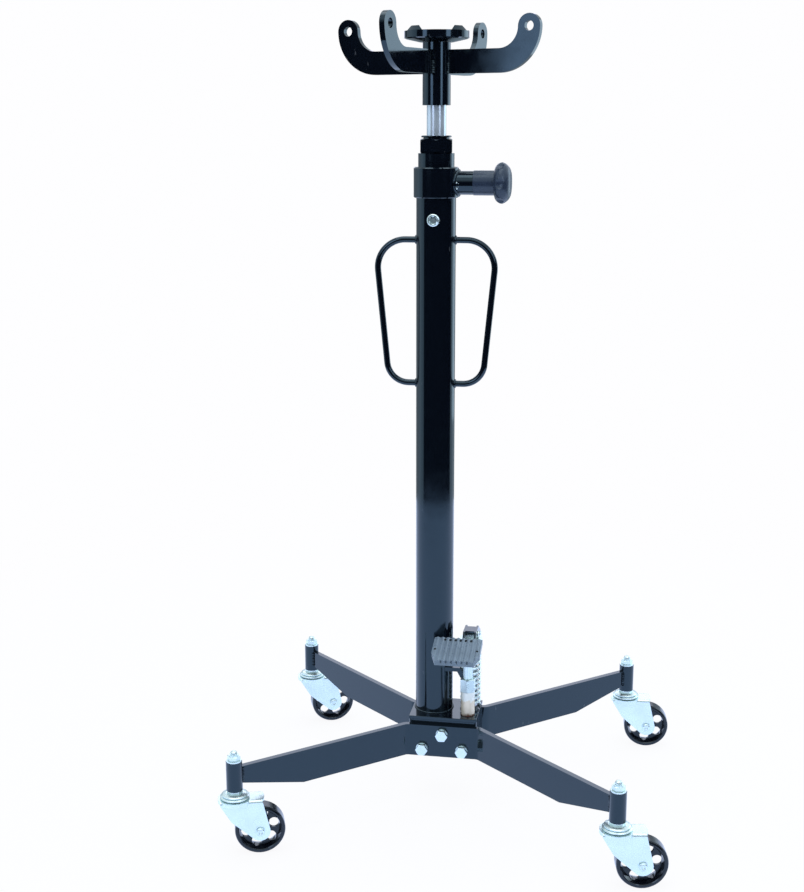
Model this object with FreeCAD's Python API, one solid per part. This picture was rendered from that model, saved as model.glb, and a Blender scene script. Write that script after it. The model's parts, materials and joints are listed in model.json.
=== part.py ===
import FreeCAD, Part
import math
import os

# Telescopic transmission jack: a foot-pumped column on four swivel castors, with a turning
# saddle and a cross of four upright arms at its head. Millimetres and degrees, +Z up.
# The origin is on the floor, on the axis of the column.

V = FreeCAD.Vector
X_AXIS = V(1, 0, 0)
Y_AXIS = V(0, 1, 0)
Z_AXIS = V(0, 0, 1)

# Clearances
RUN_GAP = 0.08          # radial play of a pin or shaft in its bore
SLIDE_GAP = 0.3         # gap between tubes and faces that slide or turn past each other
SCREW_GAP = 0.1         # radial gap round a screw or a spigot in its hole

# Base block and top plate
BLOCK_X = 19.0          # centre of the base, from the column's axis
BLOCK_Y = -4.0
BLOCK_WIDTH = 102.0
BLOCK_DEPTH = 74.0
BLOCK_BOTTOM = 78.5
BLOCK_TOP = 134.5
BLOCK_ROUND = 4.0
PLATE_DEPTH = 76.5
PLATE_THICK = 5.0
SOCKET_DEPTH = 20.0     # how deep the pump, the valve and the feed pipe go into the block
GALLERY_DIA = 5.0
PORT_DEPTH = 6.0         # from the floor of those sockets down to the oil galleries

# Legs, posts and their bolts
LEG_THICK = 8.0
LEG_HEIGHT = 49.0
LEG_BOTTOM = 79.5
LEG_FLAT = 100.0        # length of the flat that is bolted to the block
LEG_BEND = 8.0          # inner radius of the bend
LEG_TAPER_START = 172.0  # from the bend to where the lower edge starts to rise
LEG_END_HEIGHT = 22.3
POST_SPAN_X = 532.0
POST_SPAN_Y = 461.0
POST_DIA = 23.0
POST_BOTTOM = 94.5
POST_TOP = 137.5
BOLT_DIA = 10.0
BOLT_FLATS = 16.0
BOLT_HEAD = 6.5
BOLT_GRIP = 24.0        # length of the shank below the washer
BOLT_SPREAD = 30.0      # the two lower bolts, each side of the middle
BOLT_LOW = 12.0         # height of the lower bolts above the leg's lower edge
BOLT_HIGH = 36.0
WASHER_DIA = 18.0
WASHER_THICK = 2.2

# Column
TUBE_DIA = 56.0
TUBE_WALL = 2.3
TUBE_LENGTH = 807.0
COLLAR_DIA = 63.5
COLLAR_HEIGHT = 42.0
COLLAR_CHAMFER = 1.2
GUIDE_SCREW_DROP = 72.0  # below the top of the column tube
GUIDE_SCREW_DIA = 18.5
GUIDE_SCREW_HEX = 10.0
GUIDE_SCREW_STAND = 1.2
KEYWAY_WIDTH = 8.0
KEYWAY_DEPTH = 1.6

# Handles, measured from the column's axis and the top of the column tube
HANDLE_DIA = 9.0
HANDLE_TOP_DROP = 101.0
HANDLE_BOTTOM_DROP = 307.0
HANDLE_TOP_REACH = 88.0
HANDLE_BOTTOM_REACH = 68.0
HANDLE_TOP_BEND = 40.0
HANDLE_BOTTOM_BEND = 31.0

# Lock: a clamp screw on the collar, along +X
KNOB_DROP = 21.5        # below the top of the column tube
BOSS_DIA = 33.0
BOSS_END = 53.0         # all lengths of the lock are measured from the column's axis
KNOB_DIA = 34.5
KNOB_FLANGE_START = 82.5
KNOB_FLANGE_DIA = 57.0
KNOB_FLANGE_PEAK = 93.0
KNOB_END = 105.0
KNOB_FACE = 9.0         # radius of the flat on the knob's end
SCALLOPS = 6
SCALLOP_RADIUS = 13.0
SCALLOP_OUT = 38.0      # distance of each scallop's centre from the knob's axis
LOCK_SCREW_DIA = 16.0
LOCK_SCREW_IN_KNOB = 24.0
CLAMP_PAD_THICK = 4.0

# Inner column, which is drawn out by hand and locked
INNER_WALL = 2.9
INNER_SHOW = 19.0       # stands above the column tube when it is down
INNER_LENGTH = 661.0
EXTENSION = 400.0       # travel of the inner column
RAM_STROKE = 400.0
NUT_FLATS = 44.0
NUT_HEIGHT = 20.0
NUT_SPIGOT = 26.0
NUT_TURN = 7.0          # rest angle of the nut's corners
GLAND_NECK = 1.6
GLAND_DISC_DIA = 42.4
GLAND_DISC = 2.6
LINER_DIA = 40.0
LINER_WALL = 3.0
FOOT_THICK = 12.0
FOOT_SPIGOT = 15.0
GUIDE_RING_HEIGHT = 15.0
GUIDE_RING_SPACING = 40.0
GUIDE_RING_SINK = 1.2
FEED_DIA = 10.0
FEED_BORE = 6.0

# Ram and saddle carrier
ROD_DIA = 27.0
ROD_BORE_GAP = 1.5      # round the feed pipe
ROD_SHOW = 41.0
PISTON_HEIGHT = 34.0
SEAL_HEIGHT = 7.0
SEAL_DEPTH = 2.2
SLEEVE_DIA = 39.0
SLEEVE_LENGTH = 84.0
SLEEVE_STEP = 50.0      # depth of the lower bore, which sits on the ram
SPIGOT_DIA = 22.0       # of the saddle, in the sleeve's upper bore
ARM_DROP = 26.0         # the arms' centre line, below the sleeve's top
ARM_WIDTH = 32.0
ARM_THICK = 8.0
ARM_REACH = 139.0       # column's axis to the hole
ARM_BEND = 44.0         # radius of the bend's centre line
ARM_HOLE = 13.0
ARM_COUNT = 4
ARM_TURN = -18.3        # rest angle of the cross, from +X
SADDLE_DIA = 90.0
SADDLE_HEIGHT = 20.5
SADDLE_FLOOR = 14.5     # underside to the floor of the grooves
SADDLE_RIM = 5.5        # underside to the lower edge of the rim
SADDLE_NECK = 48.0      # diameter where the cone of the underside starts
GROOVE_FLOOR = 40.0
GROOVE_TOP = 48.0
SADDLE_TURN = 8.7       # rest angle of the saddle's grooves, from +X
LUG_CHAMFER = 3.0

# Pump, release valve and pedal
PUMP_X = 54.0
PUMP_Y = 12.0
BARREL_DIA = 22.0
BARREL_HEIGHT = 60.0
PLUNGER_DIA = 14.0
SPRING_DIA = 32.0
SPRING_WIRE = 3.8
SPRING_PITCH = 7.9
COIL_STEPS = 12         # straight steps in one turn of a coil
COIL_SIDES = 6          # sides of a coil's wire
SPRING_CAP = 3.0
SPRING_TOP = 246.0      # height of the cap's underside at rest
HEAD_WIDTH = 13.0
HEAD_DEPTH = 16.0
HEAD_HEIGHT = 11.0
PIN_DIA = 8.0
PIN_HEAD_DIA = 10.4
PIN_HEAD = 1.4
VALVE_Y = -20.7
VALVE_DIA = 21.0
VALVE_HEIGHT = 37.0
VALVE_NUT_FLATS = 21.0
VALVE_NUT_HEIGHT = 20.0
BUTTON_DIA = 14.5
BUTTON_HEIGHT = 25.0    # above the valve's nut
BUTTON_FLUTES = 12
BUTTON_TRAVEL = 5.0
STEM_DIA = 7.0
RELEASE_WIRE = 1.2
RELEASE_PITCH = 2.6
RELEASE_ROOM = 12.0     # length of the spring's room under the button
FULCRUM_Y = 38.5
FULCRUM_Z = 245.0
FULCRUM_WIDTH = 13.0
FULCRUM_DEPTH = 10.0
FULCRUM_EYE = 8.0       # radius of the rounded top
LEVER_THICK = 3.0
LEVER_GAP = 0.5         # each side of the fulcrum post and the plunger's head
LEVER_EYE = 9.0
LEVER_TOP = 264.0
LEVER_BRIDGE = 2.8      # thickness of the bridge over the pump
PEDAL_X = 41.0
PEDAL_BACK_Y = -31.0
PEDAL_BACK_Z = 262.0
PEDAL_TILT = 16.5
PEDAL_WIDTH = 71.0
PEDAL_LENGTH = 56.0
PEDAL_FRONT_INSET = 7.0
PEDAL_INSET_LENGTH = 20.0
PEDAL_SHEET = 2.5
PEDAL_RIM = 8.0
PEDAL_ANGLE = 16.0      # travel of the pedal
RIB_COUNT = 9
RIB_PITCH = 7.7
RIB_RADIUS = 2.6
RIB_STAND = 1.5
TREAD_HOLE = 3.0
STAY_HEIGHT = 6.0
STAY_DEPTH = 8.0

# Castors, listed from the front left one round to the right
WHEEL_DIA = 71.0
WHEEL_WIDTH = 24.0
TRAIL = 34.0
CASTOR_TURNS = (18.5, 10.0, 4.5, 23.5)  # rest angles of the forks
WHEEL_TURNS = (17.0, 6.0, 25.0, -10.0)  # rest angles of the wheels' holes
CAP_DIA = 41.5
CAP_HEIGHT = 7.5
RACE_GAP = 0.4
RACE_DIA = 48.0
RACE_LIP = 5.5          # height of the race's turned down edge
SHOULDER_FLATS = 19.0
SHOULDER_HEIGHT = 4.0
STUD_DIA = 10.0
STUD_HEAD = 3.0
CASTOR_WASHER_DIA = 21.5
CASTOR_NUT_FLATS = 16.0
NUT_HEX = 6.5
NUT_COLLAR = 1.6
STUD_END = 5.0          # reach of the stud's rounded end above its nut
STUD_ROUND = 3.5
FORK_SHEET = 2.5
FORK_CLEARANCE = 1.5    # each side of the wheel
FORK_BACK = 21.0        # reach of the cheeks on the far side of the swivel
FORK_FRONT = 41.0       # reach of the top over the wheel
FORK_BULGE = 3.5        # of the top's front edge, beyond the cheeks
FORK_KNEE = 6.0         # reach of the bend in the cheeks' back edge, behind the swivel
FORK_KNEE_RISE = 16.5   # of that bend, above the axle
FORK_EYE = 14.0         # radius of the cheeks' lower end, about the axle
FORK_ROUND = 4.0        # outer radius of the folds between the top and the cheeks
AXLE_DIA = 8.0
AXLE_HEAD_DIA = 13.0
AXLE_HEAD = 2.0
HUB_DIA = 21.0
WEB_THICK = 4.0
RIM_DIA = 59.0
WHEEL_HOLES = 6
WHEEL_HOLE_DIA = 14.5
WHEEL_HOLE_CIRCLE = 41.2
TREAD_ROUND = 3.0

# Derived heights
PLATE_TOP = BLOCK_TOP + PLATE_THICK
TUBE_TOP = PLATE_TOP + TUBE_LENGTH
TUBE_BORE = TUBE_DIA / 2 - TUBE_WALL
INNER_RADIUS = TUBE_BORE - SLIDE_GAP
INNER_BORE = INNER_RADIUS - INNER_WALL
INNER_TOP = TUBE_TOP + INNER_SHOW
INNER_BOTTOM = INNER_TOP - INNER_LENGTH
NUT_TOP = INNER_TOP + NUT_HEIGHT
GLAND_TOP = NUT_TOP + GLAND_NECK + GLAND_DISC
SLEEVE_BOTTOM = GLAND_TOP + ROD_SHOW
SLEEVE_TOP = SLEEVE_BOTTOM + SLEEVE_LENGTH
ROD_TOP = SLEEVE_BOTTOM + SLEEVE_STEP - SLIDE_GAP
FOOT_TOP = INNER_BOTTOM + FOOT_SPIGOT
LINER_BORE = LINER_DIA / 2 - LINER_WALL
PISTON_BOTTOM = FOOT_TOP + SLIDE_GAP
FEED_BOTTOM = PLATE_TOP - SOCKET_DEPTH
FEED_TOP = INNER_BOTTOM + EXTENSION + FOOT_SPIGOT + 2 * SOCKET_DEPTH
ROD_BORE_TOP = FEED_TOP + SOCKET_DEPTH
KNOB_Z = TUBE_TOP - KNOB_DROP
GUIDE_Z = TUBE_TOP - GUIDE_SCREW_DROP
SADDLE_BASE = SLEEVE_TOP + SLIDE_GAP
ARM_Z = SLEEVE_TOP - ARM_DROP
LEG_FRONT = BLOCK_DEPTH / 2 + LEG_THICK
HEAD_BOTTOM = SPRING_TOP + SPRING_CAP
PIN_Z = HEAD_BOTTOM + HEAD_HEIGHT / 2
VALVE_TOP = PLATE_TOP + VALVE_HEIGHT
BUTTON_BASE = VALVE_TOP + VALVE_NUT_HEIGHT
LEVER_IN = FULCRUM_WIDTH / 2 + LEVER_GAP
STUD_TOP = POST_TOP + WASHER_THICK + NUT_HEX + NUT_COLLAR + STUD_END
CAP_TOP = POST_BOTTOM - SHOULDER_HEIGHT
CAP_BOTTOM = CAP_TOP - CAP_HEIGHT
FORK_TOP = CAP_BOTTOM - RACE_GAP
FORK_INNER = WHEEL_WIDTH / 2 + FORK_CLEARANCE
FORK_OUTER = FORK_INNER + FORK_SHEET
WHEEL_R = WHEEL_DIA / 2


def rod(diameter, length, base, direction=Z_AXIS):
    """A solid cylinder from its base point along a direction."""
    return Part.makeCylinder(diameter / 2, length, base, direction)


def pipe(outer, inner, length, base, direction=Z_AXIS):
    """A round tube."""
    return rod(outer, length, base, direction).cut(rod(inner, length, base, direction))


def hexagon(flats, height, base, turn=0.0):
    """An upright hexagonal bar, with a corner at the turn angle from +X."""
    corner = flats / math.sqrt(3)
    angles = [math.radians(turn + 60 * i) for i in range(7)]
    points = [V(corner * math.cos(a), corner * math.sin(a), 0) for a in angles]
    bar = Part.Face(Part.makePolygon(points)).extrude(V(0, 0, height))
    bar.translate(base)
    return bar


def hex_nut(flats, height, base, turn=0.0, both=True):
    """A hexagon with its corners turned down, at the top and, for a nut, at the bottom."""
    nut = hexagon(flats, height, base, turn)
    wide = flats / 2 * 1.16
    fall = (wide - flats / 2 * 0.97) * math.tan(math.radians(30))
    low = fall if both else 0.0
    outline = [(0, 0), (flats / 2 * 0.97 if both else wide, 0), (wide, low)]
    outline += [(wide, height - fall), (flats / 2 * 0.97, height), (0, height)]
    return nut.common(spun(outline, base))


def spun(outline, base, direction=Z_AXIS):
    """A body of revolution from (radius, height) points."""
    points = [V(r, 0, h) for r, h in outline]
    face = Part.Face(Part.makePolygon(points + [points[0]]))
    return placed(face.revolve(V(0, 0, 0), Z_AXIS, 360), base, direction)


def placed(shape, base, direction=Z_AXIS):
    """Moves a shape made at the origin along +Z to a base point and direction."""
    turned = FreeCAD.Placement(base, FreeCAD.Rotation(Z_AXIS, direction))
    return shape.transformShape(turned.toMatrix(), True)


def box(x0, x1, y0, y1, z0, z1):
    """A box between its low and high faces."""
    return Part.makeBox(x1 - x0, y1 - y0, z1 - z0, V(x0, y0, z0))


def side_plate(points, x0, thickness):
    """A plate cut to a (y, z) outline, with its thickness along X."""
    outline = [V(x0, y, z) for y, z in points]
    return Part.Face(Part.makePolygon(outline + [outline[0]])).extrude(V(thickness, 0, 0))


def upright(edge, height):
    """True for an upright straight edge of the given length."""
    ends = edge.Vertexes
    if len(ends) != 2:
        return False
    rise = ends[1].Point - ends[0].Point
    return abs(abs(rise.z) - height) < 1e-6 and math.hypot(rise.x, rise.y) < 1e-6


def fused(shapes):
    """One solid from shapes that touch, without the seams between them."""
    return shapes[0].fuse(shapes[1:]).removeSplitter()


def bent_bar(points, radii, diameter):
    """A round bar along straight runs joined by tangent arcs."""
    edges = []
    start = points[0]
    for before, corner, after, radius in zip(points, points[1:], points[2:], radii):
        back = (before - corner).normalize()
        ahead = (after - corner).normalize()
        half = back.getAngle(ahead) / 2
        reach = radius / math.tan(half)
        middle = (back + ahead).normalize() * (radius / math.sin(half) - radius)
        edges.append(Part.LineSegment(start, corner + back * reach).toShape())
        arc = Part.Arc(corner + back * reach, corner + middle, corner + ahead * reach)
        edges.append(arc.toShape())
        start = corner + ahead * reach
    edges.append(Part.LineSegment(start, points[-1]).toShape())
    section = Part.Wire(Part.makeCircle(diameter / 2, points[0], points[1] - points[0]))
    return Part.Wire(edges).makePipeShell([section], True, True)


def sockets(bottom, top):
    """The holes for the pump barrel, the release valve and the feed pipe."""
    depth = top - bottom
    holes = [rod(BARREL_DIA + 2 * SCREW_GAP, depth, V(PUMP_X, PUMP_Y, bottom))]
    holes.append(rod(VALVE_DIA + 2 * SCREW_GAP, depth, V(PUMP_X, VALVE_Y, bottom)))
    holes.append(rod(FEED_DIA + 2 * SCREW_GAP, depth, V(0, 0, bottom)))
    return holes


def base_block():
    """The cast block that carries the column, the legs, the pump and the valve."""
    x0, x1 = BLOCK_X - BLOCK_WIDTH / 2, BLOCK_X + BLOCK_WIDTH / 2
    y0, y1 = BLOCK_Y - BLOCK_DEPTH / 2, BLOCK_Y + BLOCK_DEPTH / 2
    block = box(x0, x1, y0, y1, BLOCK_BOTTOM, BLOCK_TOP)
    height = BLOCK_TOP - BLOCK_BOTTOM
    block = block.makeFillet(BLOCK_ROUND, [e for e in block.Edges if upright(e, height)])
    floor = PLATE_TOP - SOCKET_DEPTH
    cuts = sockets(floor, BLOCK_TOP)
    # Oil galleries from the pump to the valve and to the feed pipe, with a port up to each
    gallery = floor - PORT_DEPTH
    cuts.append(rod(GALLERY_DIA, PUMP_Y - VALVE_Y, V(PUMP_X, VALVE_Y, gallery), Y_AXIS))
    cuts.append(rod(GALLERY_DIA, math.hypot(PUMP_X, PUMP_Y), V(0, 0, gallery), V(PUMP_X, PUMP_Y, 0)))
    for x, y in ((0, 0), (PUMP_X, PUMP_Y), (PUMP_X, VALVE_Y)):
        cuts.append(rod(FEED_BORE, 2 * PORT_DEPTH, V(x, y, floor - 1.5 * PORT_DEPTH)))
    depth = BOLT_GRIP + SCREW_GAP - LEG_THICK
    for side in (-1, 1):
        face = BLOCK_Y + side * BLOCK_DEPTH / 2
        for x, z in bolt_places():
            start = V(x, face, z)
            cuts.append(rod(BOLT_DIA + 2 * SCREW_GAP, depth, start, Y_AXIS * -side))
    return block.cut(cuts)


def top_plate():
    """The plate under the column tube."""
    x0, x1 = BLOCK_X - BLOCK_WIDTH / 2, BLOCK_X + BLOCK_WIDTH / 2
    y0, y1 = BLOCK_Y - PLATE_DEPTH / 2, BLOCK_Y + PLATE_DEPTH / 2
    return box(x0, x1, y0, y1, BLOCK_TOP, PLATE_TOP).cut(sockets(BLOCK_TOP, PLATE_TOP))


def bolt_places():
    """The (x, z) places of the three bolts of a leg."""
    low = LEG_BOTTOM + BOLT_LOW
    high = LEG_BOTTOM + BOLT_HIGH
    return [(BLOCK_X - BOLT_SPREAD, low), (BLOCK_X + BOLT_SPREAD, low), (BLOCK_X, high)]


def leg_arm_angle():
    """The angle in plan between the leg's flat and its splayed arm."""
    across = POST_SPAN_X / 2 - LEG_FLAT / 2
    along = POST_SPAN_Y / 2 - LEG_FRONT - LEG_BEND
    mean = LEG_BEND + LEG_THICK / 2
    return math.asin(mean / math.hypot(across, along)) + math.atan2(along, across)


def leg_half(post):
    """One bend and one tapered arm of the front leg, on the +X side, about the block's centre."""
    angle = leg_arm_angle()
    centre = V(LEG_FLAT / 2, -LEG_FRONT - LEG_BEND, LEG_BOTTOM)
    outer = Part.makeCylinder(LEG_BEND + LEG_THICK, LEG_HEIGHT, centre, Z_AXIS, math.degrees(angle))
    inner = Part.makeCylinder(LEG_BEND, LEG_HEIGHT, centre, Z_AXIS)
    bend = outer.cut(inner)
    bend.rotate(centre, Z_AXIS, 90 - math.degrees(angle))
    along = V(math.cos(angle), -math.sin(angle), 0)
    across = V(math.sin(angle), math.cos(angle), 0)
    start = centre + across * LEG_BEND
    length = (post - start).dot(along)
    top = start + V(0, 0, LEG_HEIGHT)
    outline = [start, start + along * LEG_TAPER_START]
    outline += [top + along * length - V(0, 0, LEG_END_HEIGHT), top + along * length, top]
    arm = Part.Face(Part.makePolygon(outline + [start])).extrude(across * LEG_THICK)
    return bend, arm


def front_leg():
    """The bent flat bar at the front, cut to meet the posts and drilled for its bolts."""
    post = V(POST_SPAN_X / 2, -POST_SPAN_Y / 2, LEG_BOTTOM)
    bend, arm = leg_half(post)
    flat = box(0, LEG_FLAT / 2, -LEG_FRONT, -BLOCK_DEPTH / 2, LEG_BOTTOM, LEG_BOTTOM + LEG_HEIGHT)
    half = fused([flat, bend, arm]).cut(rod(POST_DIA, 2 * LEG_HEIGHT, post))
    leg = fused([half, half.mirror(V(0, 0, 0), X_AXIS)])
    leg.translate(V(BLOCK_X, BLOCK_Y, 0))
    start = BLOCK_Y - LEG_FRONT
    holes = [rod(BOLT_DIA + 2 * SCREW_GAP, LEG_THICK, V(x, start, z), Y_AXIS) for x, z in bolt_places()]
    return leg.cut(holes)


def mirrored_back(shape):
    """The same shape on the other side of the base, front to back."""
    return shape.mirror(V(0, BLOCK_Y, 0), Y_AXIS)


def castor_axes(height):
    """The points at a height on the axes of the four castors, from the front left one round to the right."""
    half_x = POST_SPAN_X / 2
    half_y = POST_SPAN_Y / 2
    corners = ((-half_x, -half_y), (half_x, -half_y), (half_x, half_y), (-half_x, half_y))
    return [V(BLOCK_X + x, BLOCK_Y + y, height) for x, y in corners]


def castor_posts():
    """The upright tubes at the ends of the legs."""
    height = POST_TOP - POST_BOTTOM
    bore = STUD_DIA + 2 * SCREW_GAP
    return [pipe(POST_DIA, bore, height, base) for base in castor_axes(POST_BOTTOM)]


def front_bolts(with_heads):
    """The three washers or the three bolts of the front leg."""
    pieces = []
    for x, z in bolt_places():
        face = V(x, BLOCK_Y - LEG_FRONT, z)
        if with_heads:
            seat = V(0, 0, WASHER_THICK)
            head = hex_nut(BOLT_FLATS, BOLT_HEAD, seat, 0.0, False)
            bolt = head.fuse(rod(BOLT_DIA, BOLT_GRIP + WASHER_THICK, seat, -Z_AXIS))
            pieces.append(placed(bolt, face, -Y_AXIS))
        else:
            pieces.append(pipe(WASHER_DIA, BOLT_DIA + 2 * SCREW_GAP, WASHER_THICK, face, -Y_AXIS))
    return pieces


def leg_bolts():
    """Six hexagon bolts, three to a leg."""
    front = front_bolts(True)
    return front + [mirrored_back(bolt) for bolt in front]


def leg_washers():
    """Six washers under the bolts."""
    front = front_bolts(False)
    return front + [mirrored_back(washer) for washer in front]


def lock_axis(distance):
    """A point on the lock's axis, at a distance from the column's axis."""
    return V(distance, 0, KNOB_Z)


def lock_hole():
    """The clear hole of the lock screw through collar and tube."""
    return rod(LOCK_SCREW_DIA + 2 * SCREW_GAP, COLLAR_DIA, lock_axis(0), X_AXIS)


def guide_hole(diameter):
    """A hole for the guide screw through the front of the column tube."""
    return rod(diameter + 2 * SCREW_GAP, TUBE_DIA, V(0, 0, GUIDE_Z), -Y_AXIS)


def outer_tube():
    """The column tube, welded on the top plate."""
    tube = pipe(TUBE_DIA, 2 * TUBE_BORE, TUBE_LENGTH, V(0, 0, PLATE_TOP))
    return tube.cut([lock_hole(), guide_hole(GUIDE_SCREW_DIA - 2 * TUBE_WALL)])


def guide_collar():
    """The thick ring round the top of the column tube."""
    top = COLLAR_DIA / 2
    low = top - COLLAR_CHAMFER
    outline = [(TUBE_DIA / 2, 0), (low, 0), (top, COLLAR_CHAMFER), (top, COLLAR_HEIGHT - COLLAR_CHAMFER)]
    outline += [(low, COLLAR_HEIGHT), (TUBE_DIA / 2, COLLAR_HEIGHT)]
    return spun(outline, V(0, 0, TUBE_TOP - COLLAR_HEIGHT)).cut(lock_hole())


def knob_boss():
    """The threaded boss on the side of the collar."""
    boss = pipe(BOSS_DIA, LOCK_SCREW_DIA + 2 * SCREW_GAP, BOSS_END, lock_axis(0), X_AXIS)
    return boss.cut(rod(COLLAR_DIA, 2 * BOSS_DIA, V(0, 0, KNOB_Z - BOSS_DIA)))


def handle(side):
    """A bent round bar welded to the side of the column tube."""
    top = TUBE_TOP - HANDLE_TOP_DROP
    bottom = TUBE_TOP - HANDLE_BOTTOM_DROP
    points = [V(0, 0, top), V(side * HANDLE_TOP_REACH, 0, top)]
    points += [V(side * HANDLE_BOTTOM_REACH, 0, bottom), V(0, 0, bottom)]
    bar = bent_bar(points, [HANDLE_TOP_BEND, HANDLE_BOTTOM_BEND], HANDLE_DIA)
    return bar.cut(rod(TUBE_DIA, TUBE_LENGTH, V(0, 0, PLATE_TOP)))


def guide_screw():
    """The socket screw whose tip runs in the keyway of the inner tube."""
    face = TUBE_DIA / 2 + GUIDE_SCREW_STAND
    waist = GUIDE_SCREW_DIA - 2 * TUBE_WALL
    tip_reach = INNER_RADIUS - KEYWAY_DEPTH + SLIDE_GAP
    head = rod(GUIDE_SCREW_DIA, face, V(0, 0, 0)).cut(rod(TUBE_DIA, 2 * TUBE_DIA, V(0, -TUBE_DIA, 0), Y_AXIS))
    body = rod(waist, face, V(0, 0, 0)).cut(rod(2 * TUBE_BORE, 2 * TUBE_DIA, V(0, -TUBE_DIA, 0), Y_AXIS))
    tip = rod(KEYWAY_WIDTH - 2 * SLIDE_GAP, face - tip_reach, V(0, 0, tip_reach))
    socket = hexagon(GUIDE_SCREW_HEX, 4 * GUIDE_SCREW_STAND, V(0, 0, face - 3 * GUIDE_SCREW_STAND), 90)
    screw = fused([head, body, tip]).cut(socket)
    return placed(screw, V(0, 0, GUIDE_Z), -Y_AXIS)


def feed_pipe():
    """The oil pipe that stands in the block and reaches up into the hollow ram."""
    return pipe(FEED_DIA, FEED_BORE, FEED_TOP - FEED_BOTTOM, V(0, 0, FEED_BOTTOM))


def guide_ring_places():
    """The lower ends of the guide rings round the inner tube."""
    first = INNER_BOTTOM + GUIDE_RING_HEIGHT
    return [first, first + GUIDE_RING_SPACING]


def inner_tube():
    """The tube that is drawn out by hand, grooved for the guide rings and the guide screw."""
    tube = pipe(2 * INNER_RADIUS, 2 * INNER_BORE, INNER_LENGTH, V(0, 0, INNER_BOTTOM))
    sunk = INNER_RADIUS - GUIDE_RING_SINK
    cuts = [pipe(2 * TUBE_DIA, 2 * sunk, GUIDE_RING_HEIGHT, V(0, 0, z)) for z in guide_ring_places()]
    half = KEYWAY_WIDTH / 2
    floor = INNER_RADIUS - KEYWAY_DEPTH
    low = GUIDE_Z - EXTENSION - KEYWAY_WIDTH
    cuts.append(box(-half, half, -TUBE_DIA, -floor, low, GUIDE_Z + KEYWAY_WIDTH))
    return tube.cut(cuts)


def guide_rings():
    """Two plastic rings that run in the column tube."""
    outer = 2 * (TUBE_BORE - RUN_GAP)
    inner = 2 * (INNER_RADIUS - GUIDE_RING_SINK)
    return [pipe(outer, inner, GUIDE_RING_HEIGHT, V(0, 0, z)) for z in guide_ring_places()]


def gland_nut():
    """The hexagon nut that closes the inner tube round the ram."""
    nut = hex_nut(NUT_FLATS, NUT_HEIGHT, V(0, 0, INNER_TOP), 90 + NUT_TURN)
    spigot = rod(2 * (INNER_BORE - SCREW_GAP), NUT_SPIGOT, V(0, 0, INNER_TOP - NUT_SPIGOT))
    bore = rod(ROD_DIA + 2 * RUN_GAP, NUT_SPIGOT + NUT_HEIGHT, V(0, 0, INNER_TOP - NUT_SPIGOT))
    return nut.fuse(spigot).cut(bore)


def wiper_cap():
    """The flanged ring on the nut that holds the ram's wiper."""
    inner = ROD_DIA / 2 + RUN_GAP
    neck = 0.86 * GLAND_DISC_DIA / 2
    disc = GLAND_DISC_DIA / 2
    edge = 0.25 * GLAND_DISC
    outline = [(inner, 0), (neck, 0), (neck, GLAND_NECK)]
    outline += [(disc - edge, GLAND_NECK), (disc, GLAND_NECK + edge)]
    top = GLAND_NECK + GLAND_DISC
    outline += [(disc, top - edge), (disc - edge, top), (inner, top)]
    return spun(outline, V(0, 0, NUT_TOP))


def cylinder_liner():
    """The honed tube that the ram's piston runs in."""
    length = INNER_TOP - NUT_SPIGOT - FOOT_TOP
    return pipe(LINER_DIA, 2 * LINER_BORE, length, V(0, 0, FOOT_TOP))


def column_foot():
    """The plug in the lower end of the inner tube, which slides on the feed pipe."""
    flange = rod(2 * INNER_RADIUS, FOOT_THICK, V(0, 0, INNER_BOTTOM - FOOT_THICK))
    spigot = rod(2 * (INNER_BORE - SCREW_GAP), FOOT_SPIGOT, V(0, 0, INNER_BOTTOM))
    bore = rod(FEED_DIA + 2 * RUN_GAP, FOOT_THICK + FOOT_SPIGOT, V(0, 0, INNER_BOTTOM - FOOT_THICK))
    return flange.fuse(spigot).cut(bore)


def ram_rod():
    """The chromed ram, bored to pass the feed pipe."""
    body = rod(ROD_DIA, ROD_TOP - PISTON_BOTTOM, V(0, 0, PISTON_BOTTOM))
    bore = FEED_DIA + 2 * ROD_BORE_GAP
    return body.cut(rod(bore, ROD_BORE_TOP - PISTON_BOTTOM, V(0, 0, PISTON_BOTTOM)))


def seal_bottom():
    """Height of the piston seal's lower face."""
    return PISTON_BOTTOM + (PISTON_HEIGHT - SEAL_HEIGHT) / 2


def piston():
    """The piston ring on the foot of the ram."""
    outer = 2 * (LINER_BORE - SLIDE_GAP)
    body = pipe(outer, ROD_DIA, PISTON_HEIGHT, V(0, 0, PISTON_BOTTOM))
    groove = pipe(2 * outer, outer - 2 * SEAL_DEPTH, SEAL_HEIGHT, V(0, 0, seal_bottom()))
    return body.cut(groove)


def piston_seal():
    """The seal in the piston's groove."""
    outer = 2 * (LINER_BORE - RUN_GAP)
    inner = 2 * (LINER_BORE - SLIDE_GAP - SEAL_DEPTH)
    return pipe(outer, inner, SEAL_HEIGHT, V(0, 0, seal_bottom()))


def saddle_sleeve():
    """The socket on the ram's head, stepped inside to sit on the ram and to take the saddle."""
    sleeve = rod(SLEEVE_DIA, SLEEVE_LENGTH, V(0, 0, SLEEVE_BOTTOM))
    low = rod(ROD_DIA + 2 * RUN_GAP, SLEEVE_STEP, V(0, 0, SLEEVE_BOTTOM))
    high = rod(SPIGOT_DIA + 2 * RUN_GAP, SLEEVE_LENGTH - SLEEVE_STEP, V(0, 0, SLEEVE_BOTTOM + SLEEVE_STEP))
    return sleeve.cut([low, high])


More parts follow.
